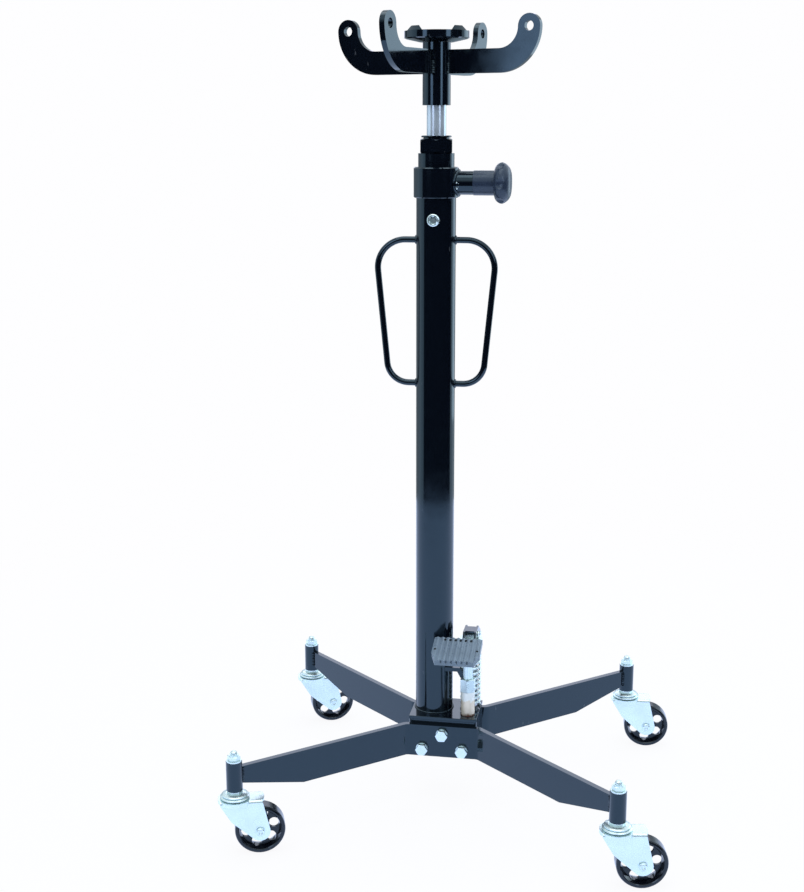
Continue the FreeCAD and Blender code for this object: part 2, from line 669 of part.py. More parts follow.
def carrier_arm(turn):
    """One flat arm, straight and then bent up to a drilled round tip."""
    bend_start = ARM_REACH - ARM_BEND
    half = ARM_WIDTH / 2
    near = ARM_BEND - half
    far = ARM_BEND + half
    centre_z = ARM_Z + ARM_BEND
    diagonal = math.sqrt(0.5)

    def at(r, z):
        return V(r, -ARM_THICK / 2, z)

    points = [at(0, ARM_Z - half), at(bend_start, ARM_Z - half)]
    lower = Part.LineSegment(points[0], points[1])
    outer = Part.Arc(points[1], at(bend_start + far * diagonal, centre_z - far * diagonal),
                     at(ARM_REACH + half, centre_z))
    tip = Part.Arc(at(ARM_REACH + half, centre_z), at(ARM_REACH, centre_z + half),
                   at(ARM_REACH - half, centre_z))
    inner = Part.Arc(at(ARM_REACH - half, centre_z),
                     at(bend_start + near * diagonal, centre_z - near * diagonal),
                     at(bend_start, ARM_Z + half))
    upper = Part.LineSegment(at(bend_start, ARM_Z + half), at(0, ARM_Z + half))
    close = Part.LineSegment(at(0, ARM_Z + half), points[0])
    outline = Part.Wire([c.toShape() for c in (lower, outer, tip, inner, upper, close)])
    arm = Part.Face(outline).extrude(V(0, ARM_THICK, 0))
    arm = arm.cut(rod(SLEEVE_DIA, 2 * ARM_WIDTH, V(0, 0, ARM_Z - ARM_WIDTH)))
    arm = arm.cut(rod(ARM_HOLE, 2 * ARM_THICK, V(ARM_REACH, -ARM_THICK, centre_z), Y_AXIS))
    arm.rotate(V(0, 0, 0), Z_AXIS, turn)
    return arm


def carrier_arms():
    """The cross of arms welded to the sleeve."""
    return [carrier_arm(ARM_TURN + i * 360 / ARM_COUNT) for i in range(ARM_COUNT)]


def saddle():
    """The cast saddle: a round plate with a cross of grooves between four lugs, and a spigot."""
    rim = SADDLE_DIA / 2
    edge = rim - LUG_CHAMFER
    neck = SADDLE_NECK / 2
    top = SADDLE_HEIGHT
    outline = [(0, 0), (neck, 0), (edge, SADDLE_RIM - 1.5), (rim, SADDLE_RIM)]
    outline += [(rim, top - 2 * LUG_CHAMFER), (edge, top), (0, top)]
    body = spun(outline, V(0, 0, 0))
    for turn in (0, 90):
        low = GROOVE_FLOOR / 2
        high = GROOVE_TOP / 2
        section = [(-low, SADDLE_FLOOR), (low, SADDLE_FLOOR), (high, top), (-high, top)]
        groove = side_plate(section, -SADDLE_DIA, 2 * SADDLE_DIA)
        groove.rotate(V(0, 0, 0), Z_AXIS, turn)
        body = body.cut(groove)
    depth = SLEEVE_LENGTH - SLEEVE_STEP
    body = body.fuse(rod(SPIGOT_DIA, depth, V(0, 0, -depth)))
    body.rotate(V(0, 0, 0), Z_AXIS, SADDLE_TURN)
    body.translate(V(0, 0, SADDLE_BASE))
    return body


def clamp_pad():
    """The brass pad that the lock screw presses on the inner tube."""
    return rod(LOCK_SCREW_DIA, CLAMP_PAD_THICK, lock_axis(INNER_RADIUS + SLIDE_GAP), X_AXIS)


def lock_screw():
    """The clamp screw, moulded into the knob."""
    start = INNER_RADIUS + 2 * SLIDE_GAP + CLAMP_PAD_THICK
    return rod(LOCK_SCREW_DIA, BOSS_END + SLIDE_GAP + LOCK_SCREW_IN_KNOB - start, lock_axis(start), X_AXIS)


def lock_knob():
    """The hand knob: a long skirt and a round flange with finger scallops."""
    start = BOSS_END + SLIDE_GAP
    skirt = KNOB_DIA / 2
    flange = KNOB_FLANGE_DIA / 2
    back = V((KNOB_FLANGE_START + KNOB_FLANGE_PEAK) / 2 - 2.2, (skirt + flange) / 2 + 2.2, 0)
    front = V((KNOB_FLANGE_PEAK + KNOB_END) / 2 + 2.6, (flange + KNOB_FACE) / 2 + 4.4, 0)
    p0 = V(start, 0, 0)
    p1 = V(start, skirt, 0)
    p2 = V(KNOB_FLANGE_START, skirt, 0)
    p3 = V(KNOB_FLANGE_PEAK, flange, 0)
    p4 = V(KNOB_END, KNOB_FACE, 0)
    p5 = V(KNOB_END, 0, 0)
    curves = [Part.LineSegment(p0, p1), Part.LineSegment(p1, p2), Part.Arc(p2, back, p3)]
    curves += [Part.Arc(p3, front, p4), Part.LineSegment(p4, p5), Part.LineSegment(p5, p0)]
    knob = Part.Face(Part.Wire([c.toShape() for c in curves])).revolve(V(0, 0, 0), X_AXIS, 360)
    knob.translate(lock_axis(0))
    cuts = [rod(LOCK_SCREW_DIA, LOCK_SCREW_IN_KNOB, lock_axis(start), X_AXIS)]
    for i in range(SCALLOPS):
        angle = math.radians(i * 360 / SCALLOPS)
        out = V(0, -math.cos(angle), math.sin(angle)) * SCALLOP_OUT
        cuts.append(Part.makeSphere(SCALLOP_RADIUS, lock_axis(KNOB_FLANGE_PEAK - 2) + out))
    return knob.cut(cuts)


def pump_barrel():
    """The pump's cylinder, screwed into the block inside the return spring."""
    base = V(PUMP_X, PUMP_Y, PLATE_TOP - SOCKET_DEPTH)
    barrel = rod(BARREL_DIA, SOCKET_DEPTH + BARREL_HEIGHT, base)
    return barrel.cut(rod(PLUNGER_DIA + 2 * RUN_GAP, SOCKET_DEPTH + BARREL_HEIGHT, base))


def plunger_drop():
    """How far the plunger goes down at the end of the pedal's travel."""
    return (FULCRUM_Y - PUMP_Y) * math.radians(PEDAL_ANGLE)


def pump_plunger():
    """The plunger, from the barrel up to its head."""
    low = PLATE_TOP - SOCKET_DEPTH + plunger_drop() + 2 * SLIDE_GAP
    return rod(PLUNGER_DIA, HEAD_BOTTOM - low, V(PUMP_X, PUMP_Y, low))


def spring_cap():
    """The washer that holds the spring under the plunger's head."""
    bore = PLUNGER_DIA + 2 * SCREW_GAP
    return pipe(SPRING_DIA + 2, bore, SPRING_CAP, V(PUMP_X, PUMP_Y, SPRING_TOP))


def pump_spring():
    """The return spring, a coil between the top plate and its cap."""
    mean = (SPRING_DIA - SPRING_WIRE) / 2
    return coil(mean, SPRING_WIRE, SPRING_PITCH, PLATE_TOP, SPRING_TOP, PUMP_X, PUMP_Y)


def pump_head():
    """The block on top of the plunger, which the lever's pin passes through."""
    half = HEAD_WIDTH / 2
    depth = HEAD_DEPTH / 2
    top = HEAD_BOTTOM + HEAD_HEIGHT
    outline = [(PUMP_Y - depth, HEAD_BOTTOM), (PUMP_Y + depth, HEAD_BOTTOM), (PUMP_Y + depth, PIN_Z + 1)]
    outline += [(PUMP_Y + 3, top), (PUMP_Y - 3, top), (PUMP_Y - depth, PIN_Z + 1)]
    head = side_plate(outline, PUMP_X - half, HEAD_WIDTH)
    return head.cut(rod(PIN_DIA + 2 * SCREW_GAP, HEAD_WIDTH, V(PUMP_X - half, PUMP_Y, PIN_Z), X_AXIS))


def cross_pin(y, z):
    """A headed pin across the lever."""
    half = LEVER_IN + LEVER_THICK + SLIDE_GAP
    pin = rod(PIN_DIA, 2 * half, V(PUMP_X - half, y, z), X_AXIS)
    left = rod(PIN_HEAD_DIA, PIN_HEAD, V(PUMP_X - half - PIN_HEAD, y, z), X_AXIS)
    right = rod(PIN_HEAD_DIA, PIN_HEAD, V(PUMP_X + half, y, z), X_AXIS)
    return fused([pin, left, right])


def pump_pin():
    """The pin through the plunger's head."""
    return cross_pin(PUMP_Y, PIN_Z)


def fulcrum_pin():
    """The pin that the lever turns on."""
    return cross_pin(FULCRUM_Y, FULCRUM_Z)


def fulcrum_post():
    """The flat post behind the pump that carries the lever."""
    back = BLOCK_Y + PLATE_DEPTH / 2
    half = FULCRUM_WIDTH / 2
    low = LEG_BOTTOM + LEG_HEIGHT + SLIDE_GAP
    post = box(PUMP_X - half, PUMP_X + half, back, back + FULCRUM_DEPTH, low, FULCRUM_Z)
    foot = box(PUMP_X - half, PUMP_X + half, back - 1.5, back, PLATE_TOP, PLATE_TOP + 6)
    eye = rod(2 * FULCRUM_EYE, FULCRUM_WIDTH, V(PUMP_X - half, FULCRUM_Y, FULCRUM_Z), X_AXIS)
    hole = rod(PIN_DIA + 2 * SCREW_GAP, FULCRUM_WIDTH, V(PUMP_X - half, FULCRUM_Y, FULCRUM_Z), X_AXIS)
    return fused([post, foot, eye]).cut(hole)


def on_pedal(forward, down):
    """The (y, z) point this far forward of the tread's back edge and below its face."""
    tilt = math.radians(PEDAL_TILT)
    y = PEDAL_BACK_Y - forward * math.cos(tilt) + down * math.sin(tilt)
    z = PEDAL_BACK_Z - forward * math.sin(tilt) - down * math.cos(tilt)
    return y, z


def lever_cheek(x0):
    """One cheek of the pedal's lever, arched over the spring's cap from the fulcrum to the tread."""
    sheet = PEDAL_SHEET
    under = HEAD_BOTTOM + 1.5
    outline = [(FULCRUM_Y, FULCRUM_Z + LEVER_EYE), (PUMP_Y + 12, LEVER_TOP), (PUMP_Y - 18, LEVER_TOP)]
    outline += [(PUMP_Y - 26, under + 3), on_pedal(0, sheet), on_pedal(46, sheet)]
    outline += [on_pedal(46, sheet + 8), on_pedal(8, sheet + 11), (PUMP_Y - 28, under - 11.5)]
    outline += [(PUMP_Y - 18.5, under - 7.5), (PUMP_Y - 16.5, under + 5.5)]
    outline += [(PUMP_Y, under), (PUMP_Y + 17, under)]
    outline += [(PUMP_Y + 20, FULCRUM_Z - 4), (FULCRUM_Y, FULCRUM_Z - LEVER_EYE)]
    cheek = side_plate(outline, x0, LEVER_THICK)
    eye = rod(2 * LEVER_EYE, LEVER_THICK, V(x0, FULCRUM_Y, FULCRUM_Z), X_AXIS)
    return fused([cheek, eye])


def pin_slot():
    """The slot in the cheeks that lets the plunger's pin stay upright over the stroke."""
    reach = LEVER_IN + LEVER_THICK
    play = 3 * RUN_GAP
    slip = (PIN_Z - FULCRUM_Z) * math.radians(PEDAL_ANGLE) + 2.0
    width = PIN_DIA + 2 * play
    start = V(PUMP_X - reach, PUMP_Y, PIN_Z)
    ends = [rod(width, 2 * reach, start, X_AXIS), rod(width, 2 * reach, start + V(0, slip, 0), X_AXIS)]
    middle = Part.makeBox(2 * reach, slip, width, start - V(0, 0, width / 2))
    return fused(ends + [middle])


def pedal_lever():
    """The pedal's lever: two cheeks, a bridge over the pump and a pad over the valve."""
    left = PUMP_X - LEVER_IN - LEVER_THICK
    right = PUMP_X + LEVER_IN
    bridge = box(left, right + LEVER_THICK, PUMP_Y - 14, PUMP_Y + 7, LEVER_TOP - LEVER_BRIDGE, LEVER_TOP)
    pad_z = HEAD_BOTTOM - 8
    pad = box(left, right + LEVER_THICK, VALVE_Y - 8, VALVE_Y + 8, pad_z, pad_z + 3.0)
    lever = fused([lever_cheek(left), lever_cheek(right), bridge, pad])
    reach = LEVER_IN + LEVER_THICK
    hole = rod(PIN_DIA + 2 * RUN_GAP, 2 * reach, V(PUMP_X - reach, FULCRUM_Y, FULCRUM_Z), X_AXIS)
    return lever.cut([hole, pin_slot()])


def tread_outline(inset, z):
    """The tread's outline, flat, from its back edge towards -Y."""
    half = PEDAL_WIDTH / 2 - inset
    front = half - PEDAL_FRONT_INSET
    taper = -(PEDAL_LENGTH - PEDAL_INSET_LENGTH)
    end = -(PEDAL_LENGTH - inset)
    points = [V(-half, -inset, z), V(half, -inset, z), V(half, taper, z), V(front, end, z)]
    points += [V(-front, end, z), V(-half, taper, z), V(-half, -inset, z)]
    return Part.Face(Part.makePolygon(points))


def pedal_tread():
    """The ribbed tread: a shallow tray turned down all round, with holes and notches."""
    tray = tread_outline(0, -PEDAL_RIM).extrude(V(0, 0, PEDAL_RIM))
    hollow = tread_outline(PEDAL_SHEET, -PEDAL_RIM).extrude(V(0, 0, PEDAL_RIM - PEDAL_SHEET))
    tread = tray.cut(hollow)
    ribs = []
    holes = []
    for i in range(RIB_COUNT):
        x = (i - (RIB_COUNT - 1) / 2) * RIB_PITCH
        centre = V(x, -PEDAL_LENGTH, RIB_STAND - RIB_RADIUS)
        ribs.append(rod(2 * RIB_RADIUS, PEDAL_LENGTH, centre, Y_AXIS))
        if 0 < i < RIB_COUNT - 2:
            gap = x + RIB_PITCH / 2
            holes.append(rod(TREAD_HOLE, PEDAL_RIM, V(gap, -TREAD_HOLE * 1.6, -PEDAL_SHEET * 1.5)))
            holes.append(rod(TREAD_HOLE, PEDAL_RIM, V(gap, -PEDAL_LENGTH + 1, -PEDAL_SHEET * 1.5)))
    cover = tread_outline(0, -PEDAL_SHEET).extrude(V(0, 0, PEDAL_SHEET + RIB_STAND))
    tread = fused([tread] + [rib.common(cover) for rib in ribs]).cut(holes)
    tread.rotate(V(0, 0, 0), X_AXIS, PEDAL_TILT)
    tread.translate(V(PEDAL_X, PEDAL_BACK_Y, PEDAL_BACK_Z))
    return tread.cut(pedal_lever())


def valve_body():
    """The release valve's body, screwed into the block."""
    base = V(PUMP_X, VALVE_Y, PLATE_TOP - SOCKET_DEPTH)
    body = rod(VALVE_DIA, SOCKET_DEPTH + VALVE_HEIGHT, base)
    return body.cut(rod(STEM_DIA + 2 * RUN_GAP, SOCKET_DEPTH + VALVE_HEIGHT, base))


def valve_nut():
    """The hexagon cap of the release valve."""
    nut = hex_nut(VALVE_NUT_FLATS, VALVE_NUT_HEIGHT, V(PUMP_X, VALVE_Y, VALVE_TOP), 90)
    return nut.cut(rod(BUTTON_DIA + 2 * RUN_GAP, VALVE_NUT_HEIGHT, V(PUMP_X, VALVE_Y, VALVE_TOP)))


def release_button():
    """The fluted button of the release valve, with its stem."""
    low = VALVE_TOP + RELEASE_ROOM
    top = BUTTON_BASE + BUTTON_HEIGHT
    r = BUTTON_DIA / 2
    outline = [(0, low), (r, low), (r, top - 1.5), (r - 1.5, top), (0, top)]
    button = spun(outline, V(PUMP_X, VALVE_Y, 0))
    flutes = []
    for i in range(BUTTON_FLUTES):
        angle = math.radians(i * 360 / BUTTON_FLUTES)
        place = V(PUMP_X + r * math.cos(angle), VALVE_Y + r * math.sin(angle), BUTTON_BASE + 1)
        flutes.append(rod(1.2, BUTTON_HEIGHT, place))
    stem_low = FEED_BOTTOM + BUTTON_TRAVEL + SLIDE_GAP
    stem = rod(STEM_DIA, low - stem_low, V(PUMP_X, VALVE_Y, stem_low))
    return button.cut(flutes).fuse(stem)


def ring_points(sides, radius, centre):
    """The closed points of a polygon in the XZ plane."""
    turns = [2 * math.pi * i / sides for i in range(sides)]
    points = [centre + V(radius * math.cos(a), 0, radius * math.sin(a)) for a in turns]
    return points + [points[0]]


def coil(mean, wire, pitch, low, high, x, y):
    """An upright coil spring between two faces."""
    start = low + wire / 2 + SCREW_GAP
    height = high - wire / 2 - SCREW_GAP - start
    count = round(COIL_STEPS * height / pitch)
    sections = []
    for i in range(count + 1):
        section = Part.makePolygon(ring_points(COIL_SIDES, wire / 2, V(mean, 0, 0)))
        section.rotate(V(0, 0, 0), Z_AXIS, i * 360 / COIL_STEPS)
        section.translate(V(x, y, start + i * height / count))
        sections.append(section)
    return Part.makeLoft(sections, True, True)


def release_spring():
    """The return spring under the button."""
    mean = BUTTON_DIA / 2 - RELEASE_WIRE
    return coil(mean, RELEASE_WIRE, RELEASE_PITCH, VALVE_TOP, VALVE_TOP + RELEASE_ROOM, PUMP_X, VALVE_Y)


def valve_stay():
    """The bent strap from the column tube to the valve's cap."""
    low = BUTTON_BASE
    left = PUMP_X - VALVE_NUT_FLATS / 2
    arm = box(0, left - 2, 0, STAY_DEPTH, low + 9, low + 9 + STAY_HEIGHT)
    slope = [V(left - 6, 0, low + 9), V(left - 2, 0, low + 15), V(left + 3, 0, low + 8), V(left + 3, 0, low)]
    slope += [V(left - 1, 0, low)]
    hook = Part.Face(Part.makePolygon(slope + [slope[0]])).extrude(V(0, STAY_DEPTH, 0))
    strap = fused([arm, hook])
    strap.translate(V(0, VALVE_Y, 0))
    around = rod(BUTTON_DIA + 4 * SLIDE_GAP, 40, V(PUMP_X, VALVE_Y, low - 5))
    return strap.cut([rod(TUBE_DIA, TUBE_LENGTH, V(0, 0, PLATE_TOP)), around])


def castor_stems():
    """The castors' studs, each with a shoulder under its post and a riveted end."""
    head_top = FORK_TOP - FORK_SHEET - SLIDE_GAP
    head_low = head_top - STUD_HEAD
    stems = []
    for axis, turn in zip(castor_axes(0), CASTOR_TURNS):
        stud = rod(STUD_DIA, STUD_TOP - head_low, axis + V(0, 0, head_low))
        stud = stud.makeFillet(STUD_ROUND, [e for e in stud.Edges if e.BoundBox.ZMin > STUD_TOP - SCREW_GAP])
        head = rod(1.5 * STUD_DIA, STUD_HEAD, axis + V(0, 0, head_low))
        shoulder = hexagon(SHOULDER_FLATS, SHOULDER_HEIGHT, axis + V(0, 0, CAP_TOP), turn)
        stems.append(fused([stud, head, shoulder]))
    return stems


def castor_washers():
    """The washers on the posts."""
    bore = STUD_DIA + 2 * SCREW_GAP
    return [pipe(CASTOR_WASHER_DIA, bore, WASHER_THICK, base) for base in castor_axes(POST_TOP)]


def castor_nuts():
    """The collared lock nuts on the studs."""
    nuts = []
    for base in castor_axes(POST_TOP + WASHER_THICK):
        collar = rod(0.85 * CASTOR_NUT_FLATS, NUT_COLLAR, base + V(0, 0, NUT_HEX))
        nut = fused([hex_nut(CASTOR_NUT_FLATS, NUT_HEX, base, NUT_TURN), collar])
        nuts.append(nut.cut(rod(STUD_DIA, NUT_HEX + NUT_COLLAR, base)))
    return nuts


def castor_caps():
    """The double-lipped upper ball races under the posts."""
    wide = CAP_DIA / 2
    lip = wide - 2.0
    waist = wide - 4.5
    h = CAP_HEIGHT
    bore = STUD_DIA / 2 + SCREW_GAP
    outline = [(bore, 0.5 * h), (lip - 4, 0.5 * h), (lip - 2.5, 0), (lip, 0)]
    outline += [(wide, 0.14 * h), (wide, 0.3 * h), (lip, 0.42 * h), (waist, 0.5 * h)]
    outline += [(lip - 0.5, 0.6 * h), (lip - 0.5, 0.74 * h), (waist, 0.88 * h), (0.62 * wide, h), (bore, h)]
    return [spun(outline, base) for base in castor_axes(CAP_BOTTOM)]


def wheel_centre():
    """The wheel's centre in the castor's own frame, which trails along +X."""
    return V(TRAIL, 0, WHEEL_R)


def touch_point(x, z, side):
    """Where the straight edge from an (x, z) point runs into the round end of a fork's cheek."""
    away = V(TRAIL - x, 0, WHEEL_R - z)
    turn = side * math.asin(FORK_EYE / away.Length)
    length = math.sqrt(away.Length ** 2 - FORK_EYE ** 2)
    direction = math.atan2(away.z, away.x) + turn
    return x + length * math.cos(direction), z + length * math.sin(direction)


def fork_cheeks():
    """The fork's folded sheet: a top and two tapered cheeks with round ends."""
    axle = wheel_centre()
    fold = FORK_TOP - RACE_LIP
    front = FORK_FRONT - FORK_BULGE
    knee = WHEEL_R + FORK_KNEE_RISE
    outline = [(-FORK_BACK, FORK_TOP), (front, FORK_TOP), touch_point(front, FORK_TOP, 1), (axle.x, axle.z)]
    outline += [touch_point(-FORK_KNEE, knee, -1), (-FORK_KNEE, knee), (-FORK_BACK, fold)]
    points = [V(x, -FORK_OUTER, z) for x, z in outline]
    block = Part.Face(Part.makePolygon(points + [points[0]])).extrude(V(0, 2 * FORK_OUTER, 0))
    block = fused([block, rod(2 * FORK_EYE, 2 * FORK_OUTER, axle - V(0, FORK_OUTER, 0), Y_AXIS)])
    folds = [e for e in block.Edges if along_x(e, FORK_TOP)]
    return block.makeFillet(FORK_ROUND, folds)


def along_x(edge, z):
    """True for a straight edge along X at the given height."""
    ends = edge.Vertexes
    if len(ends) != 2:
        return False
    run = ends[1].Point - ends[0].Point
    return abs(run.y) < 1e-6 and abs(run.z) < 1e-6 and abs(ends[0].Point.z - z) < 1e-6


def castor_fork(axis, turn):
    """The pressed fork: folded cheeks, a rounded front edge and a cupped race under the cap."""
    under = FORK_TOP - FORK_SHEET
    fold = FORK_TOP - RACE_LIP
    bulge_radius = (FORK_OUTER ** 2 + FORK_BULGE ** 2) / (2 * FORK_BULGE)
    bulge = rod(2 * bulge_radius, FORK_SHEET, V(FORK_FRONT - bulge_radius, 0, under))
    flat = FORK_OUTER - FORK_ROUND
    bulge = bulge.common(box(0, FORK_FRONT, -flat, flat, under, FORK_TOP))
    race = rod(RACE_DIA, RACE_LIP, V(0, 0, fold))
    cup = rod(RACE_DIA - 2 * FORK_SHEET, under - fold, V(0, 0, fold))
    inner = box(-FORK_BACK - FORK_SHEET, FORK_FRONT + FORK_EYE, -FORK_INNER, FORK_INNER, 0, fold)
    passage = box(0, FORK_FRONT + FORK_EYE, -FORK_INNER, FORK_INNER, 0, under)
    cheeks = fork_cheeks().cut(box(-FORK_BACK, FORK_FRONT + FORK_EYE, -FORK_INNER, FORK_INNER, 0, under))
    fork = fused([cheeks, race.cut(cup), bulge]).cut([inner, passage])
    fork = fork.cut(rod(STUD_DIA + 2 * RUN_GAP, WHEEL_DIA, V(0, 0, fold)))
    axle = wheel_centre()
    fork = fork.cut(rod(AXLE_DIA, 2 * FORK_OUTER, axle - V(0, FORK_OUTER, 0), Y_AXIS))
    return at_castor(fork, axis, turn)


def at_castor(shape, axis, turn):
    """Turns a castor's piece to its rest angle and puts it at its post."""
    moved = shape.copy()
    moved.rotate(V(0, 0, 0), Z_AXIS, turn)
    moved.translate(axis)
    return moved


def castor_axle(axis, turn):
    """The riveted axle."""
    axle = wheel_centre()
    head = rod(AXLE_HEAD_DIA, AXLE_HEAD, axle - V(0, FORK_OUTER + AXLE_HEAD, 0), Y_AXIS)
    tail = rod(AXLE_HEAD_DIA, AXLE_HEAD, axle + V(0, FORK_OUTER, 0), Y_AXIS)
    shaft = rod(AXLE_DIA, 2 * FORK_OUTER, axle - V(0, FORK_OUTER, 0), Y_AXIS)
    return at_castor(fused([shaft, head, tail]), axis, turn)


def castor_wheel(axis, turn, roll):
    """The wheel: a rounded tread on a rim, with a drilled web and a hub."""
    half = WHEEL_WIDTH / 2
    bore = AXLE_DIA / 2 + RUN_GAP
    rim = RIM_DIA / 2
    hub = HUB_DIA / 2
    web = WEB_THICK / 2
    soft = TREAD_ROUND
    hub_half = FORK_INNER - SLIDE_GAP
    outline = [(bore, -hub_half), (hub - 1, -hub_half), (hub, -hub_half + 1), (hub + 1.5, -web)]
    outline += [(rim - 2.5, -web), (rim, -half + 1), (rim + 1, -half), (WHEEL_R - soft, -half)]
    outline += [(WHEEL_R - 0.3 * soft, -half + 0.3 * soft), (WHEEL_R, -half + soft)]
    outline += [(radius, -height) for radius, height in reversed(outline)]
    wheel = spun(outline, V(0, 0, 0))
    holes = []
    for i in range(WHEEL_HOLES):
        angle = math.radians(i * 360 / WHEEL_HOLES)
        out = V(math.cos(angle), math.sin(angle), 0) * (WHEEL_HOLE_CIRCLE / 2)
        holes.append(rod(WHEEL_HOLE_DIA, 2 * WHEEL_WIDTH, out - V(0, 0, WHEEL_WIDTH)))
    wheel = placed(wheel.cut(holes), wheel_centre(), Y_AXIS)
    wheel.rotate(wheel_centre(), Y_AXIS, -roll)
    return at_castor(wheel, axis, turn)


def write(name, shape):
    """Writes one node, a solid or a group of separate solids."""
    pieces = shape if isinstance(shape, list) else [shape]
    solids = [solid for piece in pieces for solid in piece.Solids]
    whole = solids[0] if len(solids) == 1 else Part.makeCompound(solids)
    whole.exportStep("parts/" + name + ".step")


def main():
    """Builds every node of the jack."""
    os.makedirs("parts", exist_ok=True)
    nodes = {
        "base_block": base_block(),
        "top_plate": top_plate(),
        "front_leg": front_leg(),
        "rear_leg": mirrored_back(front_leg()),
        "castor_posts": castor_posts(),
        "leg_bolts": leg_bolts(),
        "leg_washers": leg_washers(),
        "outer_tube": outer_tube(),
        "guide_collar": guide_collar(),
        "knob_boss": knob_boss(),
        "left_handle": handle(-1),
        "right_handle": handle(1),
        "guide_screw": guide_screw(),
        "feed_pipe": feed_pipe(),
        "inner_tube": inner_tube(),
        "guide_rings": guide_rings(),
        "gland_nut": gland_nut(),
        "wiper_cap": wiper_cap(),
        "cylinder_liner": cylinder_liner(),
        "column_foot": column_foot(),
        "ram_rod": ram_rod(),
        "piston": piston(),
        "piston_seal": piston_seal(),
        "saddle_sleeve": saddle_sleeve(),
        "carrier_arms": carrier_arms(),
        "saddle": saddle(),
        "clamp_pad": clamp_pad(),
        "lock_screw": lock_screw(),
        "lock_knob": lock_knob(),
        "pump_barrel": pump_barrel(),
        "pump_plunger": pump_plunger(),
        "pump_spring": pump_spring(),
        "spring_cap": spring_cap(),
        "pump_head": pump_head(),
        "pump_pin": pump_pin(),
        "fulcrum_post": fulcrum_post(),
        "fulcrum_pin": fulcrum_pin(),
        "pedal_lever": pedal_lever(),
        "pedal_tread": pedal_tread(),
        "valve_body": valve_body(),
        "valve_nut": valve_nut(),
        "release_button": release_button(),
        "release_spring": release_spring(),
        "valve_stay": valve_stay(),
        "castor_stems": castor_stems(),
        "castor_washers": castor_washers(),
        "castor_nuts": castor_nuts(),
        "castor_caps": castor_caps(),
    }
    castors = zip(("fl", "fr", "br", "bl"), castor_axes(0), CASTOR_TURNS, WHEEL_TURNS)
    for name, axis, turn, roll in castors:
        nodes["castor_fork_" + name] = castor_fork(axis, turn)
        nodes["castor_axle_" + name] = castor_axle(axis, turn)
        nodes["castor_wheel_" + name] = castor_wheel(axis, turn, roll)
    for name, shape in nodes.items():
        write(name, shape)


main()
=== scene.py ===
"""Looks of a foot-pumped telescopic transmission jack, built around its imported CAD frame."""
import json
import logging
import math
import random
from dataclasses import dataclass, field
from enum import Enum
from typing import Sequence

import bmesh
import bpy
from mathutils import Matrix, Vector


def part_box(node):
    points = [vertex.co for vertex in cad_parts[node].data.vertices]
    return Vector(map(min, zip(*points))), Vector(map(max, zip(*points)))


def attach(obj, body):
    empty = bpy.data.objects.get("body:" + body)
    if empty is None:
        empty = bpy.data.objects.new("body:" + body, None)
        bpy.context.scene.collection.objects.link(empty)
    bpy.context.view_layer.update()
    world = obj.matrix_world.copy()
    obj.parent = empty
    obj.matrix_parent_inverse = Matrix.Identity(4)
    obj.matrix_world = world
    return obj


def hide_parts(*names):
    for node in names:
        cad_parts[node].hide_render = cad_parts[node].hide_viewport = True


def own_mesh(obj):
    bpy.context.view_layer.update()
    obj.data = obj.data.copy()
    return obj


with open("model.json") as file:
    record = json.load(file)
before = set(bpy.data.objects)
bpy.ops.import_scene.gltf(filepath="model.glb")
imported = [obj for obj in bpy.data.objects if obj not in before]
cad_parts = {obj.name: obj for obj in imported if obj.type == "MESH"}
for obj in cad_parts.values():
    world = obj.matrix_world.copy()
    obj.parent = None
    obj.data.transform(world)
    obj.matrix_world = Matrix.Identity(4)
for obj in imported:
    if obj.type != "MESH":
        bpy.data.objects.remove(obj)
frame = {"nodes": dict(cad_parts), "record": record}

LOG = logging.getLogger("jack")
MM = 0.001
FULL_TURN = 2 * math.pi
SAME_POINT = 1e-6

Socket = bpy.types.NodeSocket
Pair = tuple[float, float]
Triple = tuple[float, float, float]


class Body(str, Enum):
    """The CAD bodies that carry this scene's own pieces."""

    BASE = "base"
    CARRIER = "carrier"
    PEDAL = "pedal"
    CASTOR_FL = "castor_fl"
    CASTOR_FR = "castor_fr"
    CASTOR_BR = "castor_br"
    CASTOR_BL = "castor_bl"


class Slot(str, Enum):
    """The record's material slots."""

    PAINT = "black_paint"
    CHROME = "chrome"
    ZINC = "zinc"
    STEEL = "bare_steel"
    BRASS = "brass"
    KNOB = "knob_plastic"
    WHEEL = "wheel_plastic"
    PEDAL = "pedal_cast"
    SEAL = "seal_rubber"
    RING = "ring_plastic"


# Materials


def set_stops(node: bpy.types.Node, stops: Sequence[tuple[float, Sequence[float]]]) -> None:
    """Gives a colour ramp its stops.

    Args:
        node: The ramp's node.
        stops: Positions from low to high, with linear colours.
    """
    elements = node.color_ramp.elements
    while len(elements) < len(stops):
        elements.new(0.5)
    for element, (position, colour) in zip(elements, stops):
        element.position = position
        element.color = (*colour, 1.0)


